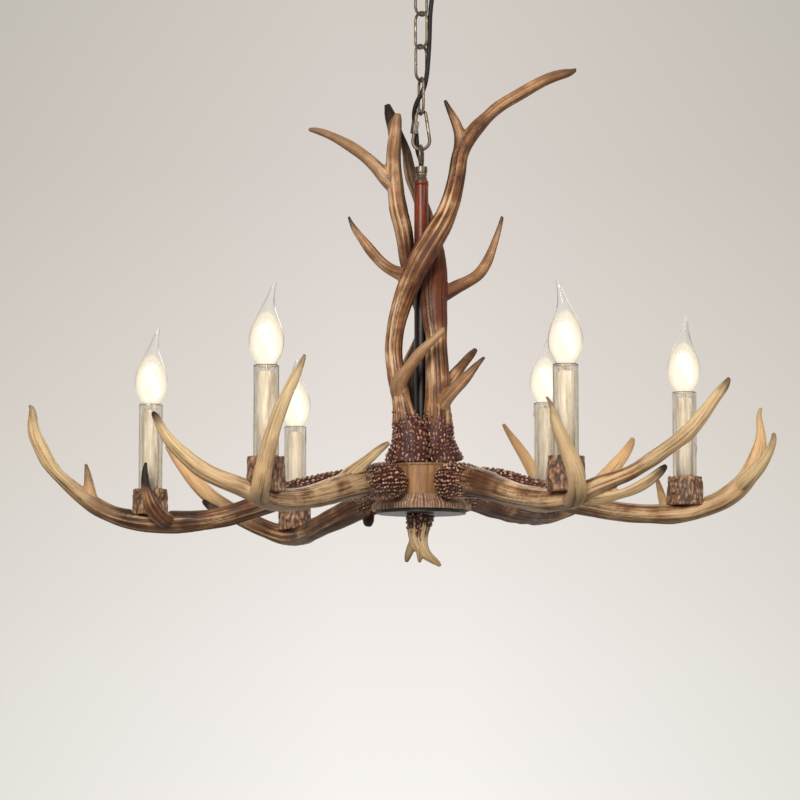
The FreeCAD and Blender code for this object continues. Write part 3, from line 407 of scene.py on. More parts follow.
# How far the pearling reaches along the beam, in metres, and the columns of pearls round it; then
# for the beam and each tine how pale the tip is rubbed, how dark its very end is, how warm it is;
# how light the whole antler is stained, and how dark its varnish is next to the pearls.  Last, for
# the beam and each tine, x, y and z of its middle and its radius, in mm from the hub's origin.
ANTLERS = {
    "arm_antler_left": (
        0.118, 25, ((1.0, 0.5, 0.1), (0.5, 0.6, 0.7), (0.0, 1.6, 0.0)), -0.12, 0.50,
        ((-41.5, 0, 7, 11), (-48, 0, 7, 15.5), (-57, 0, 7, 17.5), (-69, 0, 6.5, 17.2), (-92, 0, 4, 15),
         (-138, 0, -4, 13.5), (-179, 0, -19, 12), (-232, 0, -32, 11), (-284, 0, -33, 11.5),
         (-315, 0, -28, 9.8), (-337, 0, -19, 9.3), (-357, 0, -5, 8.4), (-372, 0, 8, 7.5),
         (-386, 0, 22, 7), (-396, 0, 38, 6.6), (-404, 0, 54, 6), (-408, 0, 70, 4.6), (-412, 0, 90, 2)),
        ((-343, 0, -15, 6.5), (-347, 0, -2, 6.2), (-349, 0, 11, 4.7), (-352, 0, 28, 1.8)),
        ((-266, -6, -32, 8), (-272, -19, -29, 8.5), (-280, -27, -19, 8), (-285, -30, -5, 6.4),
         (-287, -31, 10, 4.3), (-286, -31, 27, 1.6)),
    ),
    "arm_antler_front_left": (
        0.092, 25, ((1.0, 1.0, 0.1), (1.0, 0.5, 0.0), (1.0, 0.4, 0.0)), 0.21, 0.30,
        ((-24, -34, 7, 11), (-28, -39.5, 6.8, 15.5), (-33, -47, 6.5, 18), (-39, -57, 5.5, 18.5),
         (-47, -70, 4, 17.6), (-60, -90, 1, 16), (-77, -118, -5, 14.3), (-102, -155, -16, 12.2),
         (-127, -193, -24, 11), (-150, -233, -26, 10.2), (-160, -247, -22.5, 9.6), (-174, -250, -16, 9.1),
         (-196, -252, -8, 8.8), (-216, -253, 3, 8.2), (-234, -253, 18, 7.2), (-250, -250, 37, 5.6),
         (-261, -245, 58, 2)),
        ((-155, -243, -25, 8), (-157, -258, -22, 9), (-155, -270, -13, 9), (-152, -275, 2, 8.5),
         (-147, -278, 23, 8), (-140, -279, 47, 7.2), (-131, -277, 71, 6.2), (-121, -271, 93, 4.6),
         (-114, -265, 111, 1.8)),
        ((-84, -126, -8, 10), (-76, -116, 4, 8.5), (-66, -106, 14, 7), (-54, -98, 25, 5.6),
         (-34, -85, 42, 2)),
    ),
    "arm_antler_rear_left": (
        0.078, 25, ((0.9, 0.4, 0.9), (0.3, 1.2, 0.5), (0.0, 1.0, 0.0)), -0.08, 0.70,
        ((-20.7, 36, 7, 11), (-24, 41.5, 6.5, 15.5), (-28.5, 49, 5, 17.5), (-35, 60, 2, 17.2),
         (-46, 76, -2, 16), (-67, 104, -10, 14.3), (-97, 145, -22, 12.8), (-121, 190, -31, 11.3),
         (-142, 238, -34, 10.8), (-160, 256, -30, 10.3), (-180, 266, -22, 10.2), (-202, 274, -11, 10.2),
         (-226, 280, 3, 10), (-246, 284, 20, 9.2), (-264, 287, 40, 7.8), (-280, 287, 59, 5.2),
         (-291, 285, 73, 2)),
        ((-206, 275, -9, 6.5), (-222, 268, -7, 6.2), (-235, 263, -1, 5.2), (-246, 258, 8, 2.6)),
        ((-56, 86, -8, 6), (-56, 82, -19, 6.4), (-56.5, 79, -28, 6), (-57, 78, -33, 3.5)),
    ),
    "arm_antler_rear_right": (
        0.070, 25, ((0.9, 0.4, 0.9), (0.9, 0.4, 0.9)), -0.12, 0.70,
        ((20.7, 36, 7, 11), (24, 41.5, 6.8, 15.5), (28.5, 49, 6, 17.3), (35, 60, 4.5, 16.8),
         (45, 76, 2, 15.2), (62, 101, -3, 13.6), (88, 140, -10, 12.2), (116, 190, -12, 11.3),
         (141, 240, -9, 11.3), (160, 257, -3, 10.8), (184, 270, 10, 10.2), (210, 279, 33, 9.4),
         (229, 284, 56, 7.6), (245, 285, 82, 2.2)),
        ((146, 245, -9, 7), (147, 266, -4, 8.2), (142, 277, 12, 8.4), (134, 281, 32, 8),
         (126, 283, 50, 7.2), (117, 284, 66, 6), (106, 284, 82, 4.4), (96, 284, 98, 2)),
    ),
    "arm_antler_front_right": (
        0.078, 25, ((1.0, 0.8, 0.1), (0.8, 0.6, 0.0), (1.0, 1.0, 0.0)), 0.14, 1.00,
        ((22, -35, 7, 11), (25.5, -40.5, 6.8, 15.5), (30.5, -48.5, 6.5, 18), (36, -58, 6, 18.5),
         (44, -72, 4.5, 17.6), (56, -93, 0.5, 15.8), (74, -123, -7, 13.8), (95, -160, -17.5, 12.2),
         (117, -202, -24.5, 11.2), (138, -237, -26, 10.8), (152, -247, -21.5, 10.4), (166, -250, -15, 9.2),
         (182, -250, -9, 7.8), (201, -249, -1, 7), (220, -247, 11, 7.2), (240, -244, 25, 7.3),
         (258, -240, 40, 7.5), (273, -236, 58, 7), (287, -232, 77, 5.4), (298, -228, 93, 2)),
        ((140, -240, -27, 8), (146, -256, -26, 9.3), (147, -269, -15, 9.3), (144, -276, -1, 8.8),
         (139, -279, 13, 7.8), (132, -280, 29, 6.5), (125, -278, 48, 4.8), (117, -272, 70, 1.8)),
        ((150, -246, -25, 6.5), (163, -247, -27, 6.3), (180, -249, -25, 5.5), (200, -251, -19, 5.4),
         (218, -252, -9, 5.6), (234, -252, 5, 2)),
    ),
    "arm_antler_right": (
        0.104, 25, ((1.0, 0.3, 0.6), (1.0, 0.5, 0.0), (0.6, 0.6, 0.7)), 0.10, 0.60,
        ((41.5, 0, 7, 11), (48, 0, 7, 15.5), (57, 0, 7, 17.5), (69, 0, 6.5, 17.2), (94, 0, 4, 15),
         (130, 0, -5, 13.5), (166, 0, -14, 11.6), (205, 0, -22, 10.4), (239, 0, -25, 9.8),
         (276, 0, -23, 10.6), (294, 0, -18, 10.6), (314, 0, -10, 10.6), (333, 0, 3, 11),
         (346, 0, 21, 10), (354, 0, 42, 7.8), (356, 0, 63, 5), (357, 0, 87, 1.8)),
        ((335, -2, 4, 8), (342, -14, 12, 8.2), (352, -22, 24, 7), (360, -28, 36, 5.2),
         (365, -30, 48, 3.6), (366, -30, 58, 1.8)),
        ((262, 3, -24, 6.5), (259, 15, -20, 6.2), (255, 23, -9, 5), (252, 28, 4, 3.8), (249, 31, 16, 1.8)),
    ),
    "upper_antler_front": (
        0.060, 32, ((0.30, 0.4, 0.5), (0.1, 0.8, 0.0), (0.15, 0.9, 0.0), (0.6, 0.1, 0.1)), -0.02, 0.70,
        ((-12, -17, 26, 26), (-11, -18.5, 40, 23), (-11.5, -20, 56, 19.5), (-17, -21.5, 72, 14),
         (-21, -22, 93, 10.2), (-26, -20, 119, 9.8), (-29, -18, 146, 9.5), (-26, -18, 173, 10),
         (-19, -20, 199, 11), (-11, -24, 219, 12), (-1, -28, 239, 12.6), (12, -28, 262, 12.6),
         (25, -23, 286, 11), (33, -14, 311, 10), (38, -8, 338, 9.2), (42, -4, 358, 9), (50, -2, 374, 8.4),
         (66, 0, 393, 7.4), (86, 2, 411, 6.9), (107, 4, 424, 6.3), (128, 5, 436, 5.2), (148, 5, 444, 4.4),
         (166, 5, 450, 2)),
        ((40, -5, 360, 6.5), (41, -5, 374, 6.6), (36, -6, 391, 5.2), (30, -8, 403, 3.8), (25, -8, 414, 2)),
        ((-8, -25, 222, 8), (-21, -21, 226, 7.8), (-35, -14, 233, 6.4), (-50, -9, 248, 5.7),
         (-64, -5, 267, 4.6), (-77, -3, 290, 1.8)),
        ((-23, -22, 96, 8), (-23, -29, 110, 7.9), (-14, -37, 124, 6.8), (-2, -43, 139, 5.7),
         (11, -47, 152, 4.5), (23, -49, 165, 2)),
    ),
    "upper_antler_right": (
        0.058, 32, ((0.1, 0.5, 0.6), (0.25, 0.7, 0.4), (0.1, 0.8, 0.4), (0.3, 0.8, 0.3)), -0.02, 1.00,
        ((19, -8, 26, 26), (15.5, -10, 40, 23), (14, -13, 56, 19.6), (17, -14, 72, 15),
         (17, -15, 92, 13.4), (17, -15, 114, 12.8), (16, -15, 138, 12), (15.5, -14, 162, 11.6),
         (13.5, -10, 183, 14), (13, -5, 204, 14.6), (14.5, 4, 230, 12.8), (15, 14, 257, 9.4), (9, 20, 284, 8),
         (1, 24, 307, 7.5), (-8, 26, 329, 6.9), (-13, 26, 350, 6.2), (-18, 24, 372, 4.8), (-24, 20, 398, 2)),
        ((16, 0, 203, 8), (30, 2, 211, 7.8), (45, 4, 219, 6.9), (60, 8, 229, 6.6), (71, 10, 246, 5.6),
         (79, 10, 267, 4.2), (86, 8, 292, 1.8)),
        ((18, -14, 96, 9), (27, -5, 110, 7.6), (39, 5, 127, 6.2), (49, 12, 140, 4.7), (58, 17, 151, 2)),
        ((18, -15, 78, 9), (24, -23, 92, 8), (37, -28, 106, 6.8), (51, -31, 121, 5.1), (66, -33, 137, 2)),
    ),
    "upper_antler_left": (
        0.060, 32, ((0.2, 0.4, 0.2), (0.35, 0.3, 0.0), (0.0, 1.6, 0.0)), 0.03, 0.80,
        ((-8, 20, 26, 24), (-7, 22, 40, 20), (-5, 24, 58, 15.5), (-4, 26, 76, 12.8), (-6, 27, 98, 11.8),
         (-4, 28, 125, 11), (1, 28, 149, 10.7), (5, 27, 171, 10.6), (3, 25.5, 192, 10.5),
         (-3, 22.5, 212, 10.2), (-10, 17, 232, 9.9), (-15, 10, 252, 9.6), (-19, 2, 276, 9.5),
         (-24, -2, 297, 9.5), (-27, -2, 318, 9), (-29, -2, 340, 8.4), (-29, -4, 361, 7.6),
         (-27, -7, 382, 6.4), (-25, -11, 399, 3.4)),
        ((-27, -2, 320, 8), (-37, -1, 331, 8), (-47, 1, 343, 7.4), (-63, 3, 358, 6.7), (-81, 5, 370, 5.7),
         (-98, 6, 379, 4.6), (-120, 6, 385, 1.8)),
        ((-28, -5, 368, 5.4), (-29, -2, 384, 5.2), (-33, 0, 399, 4.5), (-36, 1, 411, 3.3)),
    ),
    "finial_antler": (
        0.022, 20, ((1.0, 0.1, 0.0), (0.7, 0.5, 0.0), (0.7, 0.3, 0.0)), 0.05, 0.00,
        ((-1.5, 0, -25, 14.6), (-2, 0, -36, 13.2), (-3, 0, -48, 10.4), (-1, 0, -57, 8.6), (4, -1, -66, 6.2),
         (12, -2, -73, 4.4), (20, -2, -80, 2)),
        ((-4, 0, -44, 6), (-8, 2, -54, 5), (-13, 4, -65, 4.1), (-16, 5, -75, 2)),
        ((-2, -1, -54, 5), (-2, -4, -66, 3.8), (-2, -6, -76, 2)),
    ),
}
# Stain colours, two of which also paint shade: the dark streak colour on the undersides, the groove colour on
# faces turned in to the stem.
STAIN_AND_SHADE_COLORS = {            # on the arm antlers, and on the upper ones
    "Dark Streak and Underside Shade": ((54, 29, 15), (60, 31, 14)),
    "Body": ((126, 82, 46), (138, 90, 52)),
    "Light Streak": ((210, 175, 132), (222, 182, 142)),
    "Tip": ((216, 188, 142), (204, 168, 124)),
    "Tip Streak": ((124, 88, 48), (122, 78, 40)),
    "Amber": ((238, 190, 134), (178, 112, 56)),
    "Groove and Inner Shade": ((34, 17, 9), (34, 16, 8)),
    "Varnish": ((82, 40, 15), (88, 34, 10)),
    "Burr": ((46, 15, 9), (46, 14, 9)),
    "Burr Streak": ((96, 40, 24), (98, 42, 28)),
    "Pearl Top": ((220, 180, 148), (206, 160, 134)),
}

# Columns of a guide row: its middle, the radius there, how far along it is and what is left to the
# tip, the way it heads, two ways across, and the number of the beam, 0, or of the tine.
MIDDLE, THICK, ALONG, LEFT = slice(0, 3), 3, 4, 5
HEADING, ACROSS, THIRD, PART = slice(6, 9), slice(9, 12), slice(12, 15), 15


def smooth_route(points):
    """Close rows of x, y, z and radius along a smooth line through the points, in metres."""
    given = np.array(points, float) / 1000
    given[:, 2] += HUB_HEIGHT
    given = np.vstack([2 * given[0] - given[1], given, 2 * given[-1] - given[-2]])
    rows = []
    for a, b, c, d in zip(given, given[1:], given[2:], given[3:]):
        count = max(2, int(np.linalg.norm((c - b)[:3]) / ROUTE_STEP))
        t = np.linspace(0, 1, count, endpoint=False)[:, None]
        rows.append(0.5 * (2 * b + (c - a) * t + (2 * a - 5 * b + 4 * c - d) * t ** 2
                           + (3 * b - a - 3 * c + d) * t ** 3))
    rows.append(given[-2:-1])
    return np.vstack(rows)


def route_guides(routes):
    """The guide rows of a beam and its tines."""
    columns = []
    for number, points in enumerate(routes):
        rows = smooth_route(points)
        centre = rows[:, :3]
        along = np.concatenate([[0], np.cumsum(np.linalg.norm(np.diff(centre, axis=0), axis=1))])
        heading = np.gradient(centre, axis=0)
        heading /= np.linalg.norm(heading, axis=1)[:, None]
        side = np.cross(heading[0], (0.31, 0.87, 0.39))
        sides = []
        for step in heading:
            side = side - step * side.dot(step)
            side /= np.linalg.norm(side)
            sides.append(side)
        sides = np.array(sides)
        columns.append(np.hstack([rows, along[:, None], (along[-1] - along)[:, None], heading, sides,
                                  np.cross(heading, sides), np.full((len(rows), 1), number)]))
    return np.vstack(columns)


def merged_copy(name):
    """A bare copy of a CAD node's mesh with its loose triangles joined."""
    data = nodes[name].data.copy()
    data.materials.clear()
    shell = bmesh.new()
    shell.from_mesh(data)
    bmesh.ops.remove_doubles(shell, verts=shell.verts, dist=WELD)
    shell.to_mesh(data)
    shell.free()
    return data


def evened(name, grid, smooth_steps):
    """A CAD node's shape as an even mesh of small quads, a little softened."""
    source = bpy.data.objects.new("evened " + name, merged_copy(name))
    even = source.modifiers.new("even grid", "REMESH")
    even.mode = "VOXEL"
    even.voxel_size = grid
    soft = source.modifiers.new("soften", "SMOOTH")
    soft.factor = 0.5
    soft.iterations = smooth_steps
    return mesh_of(source)


def set_attribute(data, name, values, kind="FLOAT"):
    """Stores one value, or one vector, for each vertex."""
    layer = data.attributes.new(name, kind, "POINT")
    layer.data.foreach_set("vector" if kind == "FLOAT_VECTOR" else "value",
                           np.ascontiguousarray(values, np.float32).ravel())


def vertex_arrays(data):
    """Places and normals of a mesh's vertices."""
    places = np.empty(len(data.vertices) * 3, np.float32)
    data.vertices.foreach_get("co", places)
    normals = np.empty(len(data.vertices) * 3, np.float32)
    data.vertex_normals.foreach_get("vector", normals)
    return places.reshape(-1, 3).astype(float), normals.reshape(-1, 3).astype(float)


def ease(value, low, high):
    """0 below low, 1 above high, smooth between."""
    t = np.clip((value - low) / (high - low), 0, 1)
    return t * t * (3 - 2 * t)


def noise_at(places, scale, shift=(0, 0, 0)):
    """Smooth noise at each place."""
    return np.array([noise.noise(Vector(place) * scale + Vector(shift)) for place in places])


def nearest_guides(places, guides):
    """For each place the guide row whose round surface is nearest."""
    nearest = np.empty(len(places), int)
    for start in range(0, len(places), 6000):
        block = places[start:start + 6000, None]
        gaps = np.linalg.norm(block - guides[None, :, MIDDLE], axis=2) - guides[None, :, THICK]
        nearest[start:start + 6000] = gaps.argmin(axis=1)
    return guides[nearest]


def softened(data, values):
    """Values of a mesh's vertices drawn together along its edges."""
    ends = np.empty(len(data.edges) * 2, np.int32)
    data.edges.foreach_get("vertices", ends)
    here = np.concatenate([ends[0::2], ends[1::2]])
    there = np.concatenate([ends[1::2], ends[0::2]])
    count = np.bincount(here, minlength=len(values))
    return 0.4 * values + 0.6 * np.bincount(here, values[there], len(values)) / count


def finer_root(data, marked):
    """Halves the quads whose corners are all marked."""
    shell = bmesh.new()
    shell.from_mesh(data)
    edges = [edge for edge in shell.edges if all(marked[vertex.index] for vertex in edge.verts)]
    bmesh.ops.subdivide_edges(shell, edges=edges, cuts=1, use_grid_fill=True)
    shell.to_mesh(data)
    shell.free()


def pearl_beads(turn, along, columns):
    """Beads of a burr in staggered columns, none quite in its place: how high and how pale."""
    around = turn / (2 * math.pi) * columns
    column = np.floor(around)
    step = along / PEARL_ROW + 0.5 * (column % 2) + 0.3 * np.sin(2.2 * column)
    row = np.floor(step)

    def chance(number):
        return (np.sin(column * 12.9898 + row * 78.233 + number * 37.719) * 43758.5453) % 1

    across = (around - column - 0.5 - 0.40 * (chance(1) - 0.5)) / (0.18 + 0.16 * chance(2))
    upward = (step - row - 0.5 - 0.46 * (chance(3) - 0.5)) / (0.20 + 0.32 * chance(4))
    return ease(1 - np.hypot(across, upward), 0.0, 0.6), 0.15 + 0.85 * chance(5) ** 1.3


def carve_antler(name):
    """The antler's mesh carved with lumps, grooves and pearls, and its stain attributes."""
    pearl_reach, columns, tips, tone, varnished, *routes = ANTLERS[name]
    guides = route_guides(routes)
    data = evened(name, ANTLER_GRID, ANTLER_SMOOTHING)
    guide = nearest_guides(vertex_arrays(data)[0], guides)
    finer_root(data, (guide[:, ALONG] < 1.05 * pearl_reach) & (guide[:, PART] == 0))
    places, normals = vertex_arrays(data)
    guide = nearest_guides(places, guides)
    offset = places - guide[:, MIDDLE]
    past, over, beside = (np.einsum("ij,ij->i", offset, guide[:, axis])
                          for axis in (HEADING, THIRD, ACROSS))
    turn = np.arctan2(over, beside)
    along, left = guide[:, ALONG] + past, guide[:, LEFT] - past
    thick, part = guide[:, THICK], guide[:, PART].astype(int)
    is_beam = part == 0
    flow = np.stack([GRAIN_ROUND * np.cos(turn) + 0.05 * part, GRAIN_ROUND * np.sin(turn),
                     along / GRAIN_DRAWN], axis=1)

    lump, wobble = noise_at(places, 42), noise_at(places, 130, (3, 9, 1))
    broad = noise_at(flow, 1 / BROAD_GRAIN, (7, 3, 5))
    stray = noise_at(flow, 1 / FINE_GRAIN, (1, 8, 2))
    wave = (0.55 * np.sin(17 * turn + 5.0 * broad + 2 * part) * ease(thick, 0.0045, 0.0085)
            + 0.45 * np.sin(27 * turn - 4.0 * stray) * ease(thick, 0.0075, 0.0125)
            + 1.1 * stray + 0.5 * broad)
    ragged = along + 0.016 * wobble + 0.008 * wave
    burr = np.where(is_beam, 1 - ease(ragged, 0.72 * pearl_reach, pearl_reach), 0)
    bead, bead_pale = pearl_beads(turn + 0.10 * wobble, along + 0.0022 * stray, columns)
    pearl = bead * (burr > 0.02)
    rim = np.where(is_beam, 1 - ease(along, 0.004, 0.010), 0)

    tip_rub, tip_dark, tip_warm = np.array(tips).T[:, part]
    pale = tip_rub * (1 - ease(left + 0.02 * lump, 0.045, 0.165))
    near_end = ease(left / np.maximum(tip_dark, 1) + 0.006 * wobble, 0.002, 0.026)
    end = np.clip(tip_dark * (1 - near_end), 0, 1)
    calm = 1 - 0.8 * (1 - ease(left, 0.01, 0.09))
    wave = np.where(burr > 0.5, wave, 1.12 * softened(data, wave))
    trench = ease(wave, 0.25, 1.15) * calm
    ridge = ease(-wave, 0.35, 1.2) * calm
    plump = np.array([FULLER_TIPS.get((name, number), 0) for number in range(len(tips))])[part]
    depth = (LUMP * lump + BROAD_LUMP * broad * calm - GROOVE * trench * (1 - 0.7 * burr)
             + RIDGE * ridge * (1 - burr) + burr * (PEARL * pearl - PEARL_BED)
             + RIM_PEARL * rim * pearl
             + plump * ease(left, -0.002, 0.016) * (1 - ease(left, 0.045, 0.090)))
    places = places + normals * (depth * (1 - 0.6 * rim))[:, None]

    upper = name.startswith("upper")
    height = places[:, 2] - HUB_HEIGHT
    uneven = height + 0.02 * lump
    reach = np.maximum(np.hypot(places[:, 0], places[:, 1]), 1e-4)
    inward = -(normals[:, 0] * places[:, 0] + normals[:, 1] * places[:, 1]) / reach
    near_stem = 1 - ease(reach + 0.006 * lump, 0.032, 0.058)
    # Painted shade where the antlers crowd the stem: faces turned in to it, close to it and above the hub.
    painted_inner_shade = ease(inward, -0.15, 0.75) * near_stem * ease(height, 0.03, 0.06)
    ruddy_from = (0.205, 0.235) if name == "upper_antler_front" else (0.150, 0.190)
    ruddy = near_stem * ease(uneven, *ruddy_from) * (1 - ease(uneven, 0.235, 0.275))
    after_burr = 1 - ease(along, pearl_reach + 0.02, pearl_reach + 0.07)
    browned = np.where(is_beam, after_burr, 0) * (1 - burr)
    if name == "upper_antler_left":
        places[:, 0] -= STEM_LEAN * ease(height, 0.045, 0.085) * (1 - ease(height, 0.125, 0.175))
    data.vertices.foreach_set("co", places.astype(np.float32).ravel())

    set_attribute(data, "grain", flow, "FLOAT_VECTOR")
    for label, values in (
            ("tone", np.full(len(places), tone)), ("painted_inner_shade", painted_inner_shade * upper), ("pale", pale),
            ("tip_end", end), ("amber", tip_warm * (1 - ease(left, 0.05, 0.15))),
            ("burr", burr), ("pearl", ease(pearl, 0.05, 0.6) * bead_pale), ("trench", trench),
            # under is painted shade: faces turned down are darkened, less so on the pale tips.
            ("ridge", ridge), ("under", ease(-normals[:, 2], 0.05, 0.95) * (1 - 0.6 * pale)),
            ("varnish", varnished * (ruddy if upper else browned))):
        set_attribute(data, label, values)
    return data


def reading(tree, name, output="Fac"):
    """A mesh attribute's value."""
    return add(tree, "Attribute", attribute_name=name).outputs[output]


def fixed_piece(name, data, node, slot, *finishes):
    """A finished piece that rides the fixture in the place of a CAD node."""
    piece = finished(name, data, *finishes)
    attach(piece, "fixture")
    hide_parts(node)


def layered(color, tree, given, *layers):
    """Colours laid over a first one, each where a mesh attribute from low to high calls for it."""
    for label, low, high, most, over in layers:
        cover = spread(tree, reading(tree, label), low, high, 0.0, most)
        color = blended(tree, cover, color, given[over])
    return color


# The hand stain: streaks along the grain attribute, and what the carving's attributes call for.  Painted
# shade is laid in too: on the undersides, and on faces turned in to the stem.
stain, given, back = look_group("antler stain and shade", STAIN_AND_SHADE_COLORS)
grain = reading(stain, "grain", "Vector")
streak = noise_node(stain, grain, 360.0, 5.0, 0.62)
fine = noise_node(stain, grain, 1300.0, 3.0, 0.6)
wide = noise_node(stain, grain, 120.0, 3.0)
cloud = noise_node(stain, add(stain, "TexCoord").outputs["Object"], 38.0, 4.0)
both = joined(stain, "ADD", streak, wide)
tone = joined(stain, "ADD", joined(stain, "ADD", both, cloud), reading(stain, "tone"))
tone = spread(stain, tone, 1.24, 1.76)
body = blended(stain, spread(stain, tone, 0.0, 0.5), given["Dark Streak and Underside Shade"], given["Body"])
body = blended(stain, spread(stain, tone, 0.5, 1.0), body, given["Light Streak"])
body = layered(body, stain, given, ("ridge", 0.1, 0.9, 0.62, "Light Streak"),
               ("varnish", 0.0, 1.0, 0.92, "Varnish"))
tip = blended(stain, spread(stain, both, 0.98, 1.22), given["Tip"], given["Tip Streak"])
tip = blended(stain, reading(stain, "amber"), tip, given["Amber"])
color = blended(stain, reading(stain, "pale"), body, tip)
# Painted shade: faces turned down go towards the dark streak colour, faces turned in to the stem towards the
# groove colour.  The grooves after them are the stain's own.
color = layered(color, stain, given, ("under", 0.0, 1.0, 0.62, "Dark Streak and Underside Shade"),
                ("painted_inner_shade", 0.0, 1.0, 0.85, "Groove and Inner Shade"), ("trench", 0.1, 0.9, 0.82, "Groove and Inner Shade"))
color = blended(stain, spread(stain, fine, 0.46, 0.33, 0.0, 0.6), color, given["Groove and Inner Shade"])
color = blended(stain, reading(stain, "tip_end"), color, given["Groove and Inner Shade"])
ground = blended(stain, spread(stain, streak, 0.44, 0.66), given["Burr"], given["Burr Streak"])
pearled = blended(stain, reading(stain, "pearl"), ground, given["Pearl Top"])
color = blended(stain, reading(stain, "burr"), color, pearled)
stain.links.new(color, back["Color"])
stain.links.new(spread(stain, streak, 0.3, 0.7, 0.56, 0.38), back["Roughness"])
stain.links.new(joined(stain, "ADD", fine, streak), back["Height"])

arm_finish, upper_finish = (
    group_finish(label, stain, {part: tint(*pair[which]) for part, pair in STAIN_AND_SHADE_COLORS.items()},
                 bump=0.0007, strength=0.55, Specular_IOR_Level=0.26, Coat_Weight=0.06,
                 Coat_Roughness=0.22)
    for which, label in enumerate(("arm antler stain and shade", "upper antler stain and shade")))
for name in ANTLERS:
    fixed_piece("carved_" + name, carve_antler(name), name, "antler_resin",
                upper_finish if name.startswith("upper") else arm_finish)


# -------- stem and hub
# A painted steel pipe holds the hub together: a black plate on top, a tan cast drum with the arms
# screwed to it, a skirt cast with fine radial folds and a black plate under it.
# Painted shadow: the pipe is darkened lower down, where it stands among the antlers in their shade.
PIPE_SHADE_FROM, PIPE_SHADE_TO = -0.335, -0.385      # the pipe's paint darkens between these heights
CAP_PROFILE = (                            # radius and height below the top, in mm
    (0.0, 0.0), (5.3, 0.0), (5.9, -0.6), (5.9, -3.6), (5.3, -4.1), (5.3, -4.9), (6.2, -5.5),
    (6.2, -9.0), (7.4, -9.4), (7.8, -10.0), (7.8, -14.0), (0.0, -14.0))
CAP_METAL = 0.0092                         # bare metal this far down, painted below
SKIRT_GRID = 0.0009
SKIRT_FOLDS = 96
FOLD_HEIGHT = 0.0012

pipe_paint_and_shade, tree, shader, runs, red_brown = mottled(
    "red-brown paint and shade", 260.0, 4.0, (0.3, tint(72, 28, 12)), (0.55, tint(122, 50, 22)),
    (0.75, tint(150, 72, 36)), bump=0.0003, strength=0.4, drawn=0.12, Roughness=0.34,
    Specular_IOR_Level=0.35, Coat_Weight=0.12, Coat_Roughness=0.2)
# Painted shade: near black lower down the pipe, where it runs between the antlers.
painted_pipe_shade = ramp(tree, runs, (0.35, tint(12, 6, 5)), (0.7, tint(34, 18, 13)))
place = add(tree, "SeparateXYZ", {"Vector": add(tree, "TexCoord").outputs["Object"]}).outputs
lower_down = spread(tree, place["Z"], PIPE_SHADE_FROM, PIPE_SHADE_TO)
tree.links.new(blended(tree, lower_down, red_brown, painted_pipe_shade), shader.inputs["Base Color"])
dress("stem_pipe", pipe_paint_and_shade)

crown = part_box("stem_cap")[1].z
shell = bmesh.new()
turned = [shell.verts.new((radius / 1000, 0, crown + height / 1000))
          for radius, height in CAP_PROFILE]
lines = [shell.edges.new(pair) for pair in zip(turned, turned[1:])]
bmesh.ops.spin(shell, geom=turned + lines, cent=(0, 0, 0), axis=(0, 0, 1), angle=2 * math.pi,
               steps=64)
bmesh.ops.remove_doubles(shell, verts=shell.verts, dist=WELD)
bmesh.ops.recalc_face_normals(shell, faces=shell.faces)
for face in shell.faces:
    face.material_index = int(face.calc_center_median().z < crown - CAP_METAL)
fixed_piece("turned_stem_cap", mesh_from(shell), "stem_cap", "zinc_steel", bronze, pipe_paint_and_shade)

dress("hub_drum", mottled(
    "tan drum stain", 220.0, 5.0, (0.28, tint(98, 62, 32)), (0.5, tint(142, 98, 54)),
    (0.72, tint(176, 134, 84)), bump=0.0006, strength=0.6, drawn=0.1, rough=0.6)[0])
dress("hub_top_plate", metal_paint(
    "plate rim", tint(120, 88, 56), tint(158, 124, 84), tint(54, 34, 22),
    patch=0.008, metallic=0.1))
dress("hub_bottom_plate", metal_paint(
    "black iron", tint(22, 19, 18), tint(34, 30, 28), tint(12, 10, 10),
    patch=0.008, metallic=0.0))

skirt_stain, tree, shader, _, body = mottled(
    "skirt stain", 160.0, 5.0, (0.32, tint(126, 92, 70)), (0.52, tint(168, 134, 108)),
    (0.7, tint(206, 176, 148)), bump=0.0004, strength=0.5)
crease = spread(tree, reading(tree, "fold"), 0.0, 0.55)
tree.links.new(blended(tree, crease, tint(92, 60, 50), body), shader.inputs["Base Color"])
data = evened("hub_skirt", SKIRT_GRID, 1)
places, normals = vertex_arrays(data)
turn = np.arctan2(places[:, 1], places[:, 0])
reach = np.hypot(places[:, 0], places[:, 1])
uneven = noise_at(np.stack([6 * np.cos(turn), 6 * np.sin(turn), 40 * reach], axis=1), 1)
fold = (0.5 + 0.5 * np.cos(SKIRT_FOLDS * (turn + 0.05 * uneven))) * (0.75 + 0.5 * uneven)
outer = ease(reach, 0.043, 0.046) * (normals[:, 2] > -0.6)
places += normals * (outer * FOLD_HEIGHT * (fold - 0.5 + 0.5 * uneven))[:, None]
data.vertices.foreach_set("co", places.astype(np.float32).ravel())
set_attribute(data, "fold", fold)
fixed_piece("folded_skirt", data, "hub_skirt", "tan_resin", skirt_stain)


# -------- candle cups
# Short cups cast from a slice of beam: rough bark outside, a smooth bore for the sleeve.  One
# stands at each of the six arms.
LAMPS = ("left", "front_left", "rear_left", "rear_right", "front_right", "right")
CUP_GRID = 0.0009
BARK_KNOB, BARK_CREVICE, BARK_SWELL = 0.0011, 0.0010, 0.0003
BARK_ROUND, BARK_DRAWN = 0.018, 2.6        # the bark's width round a cup, its length along
BARK_GRAIN, KNOB_SIZE = 0.0042, 0.006

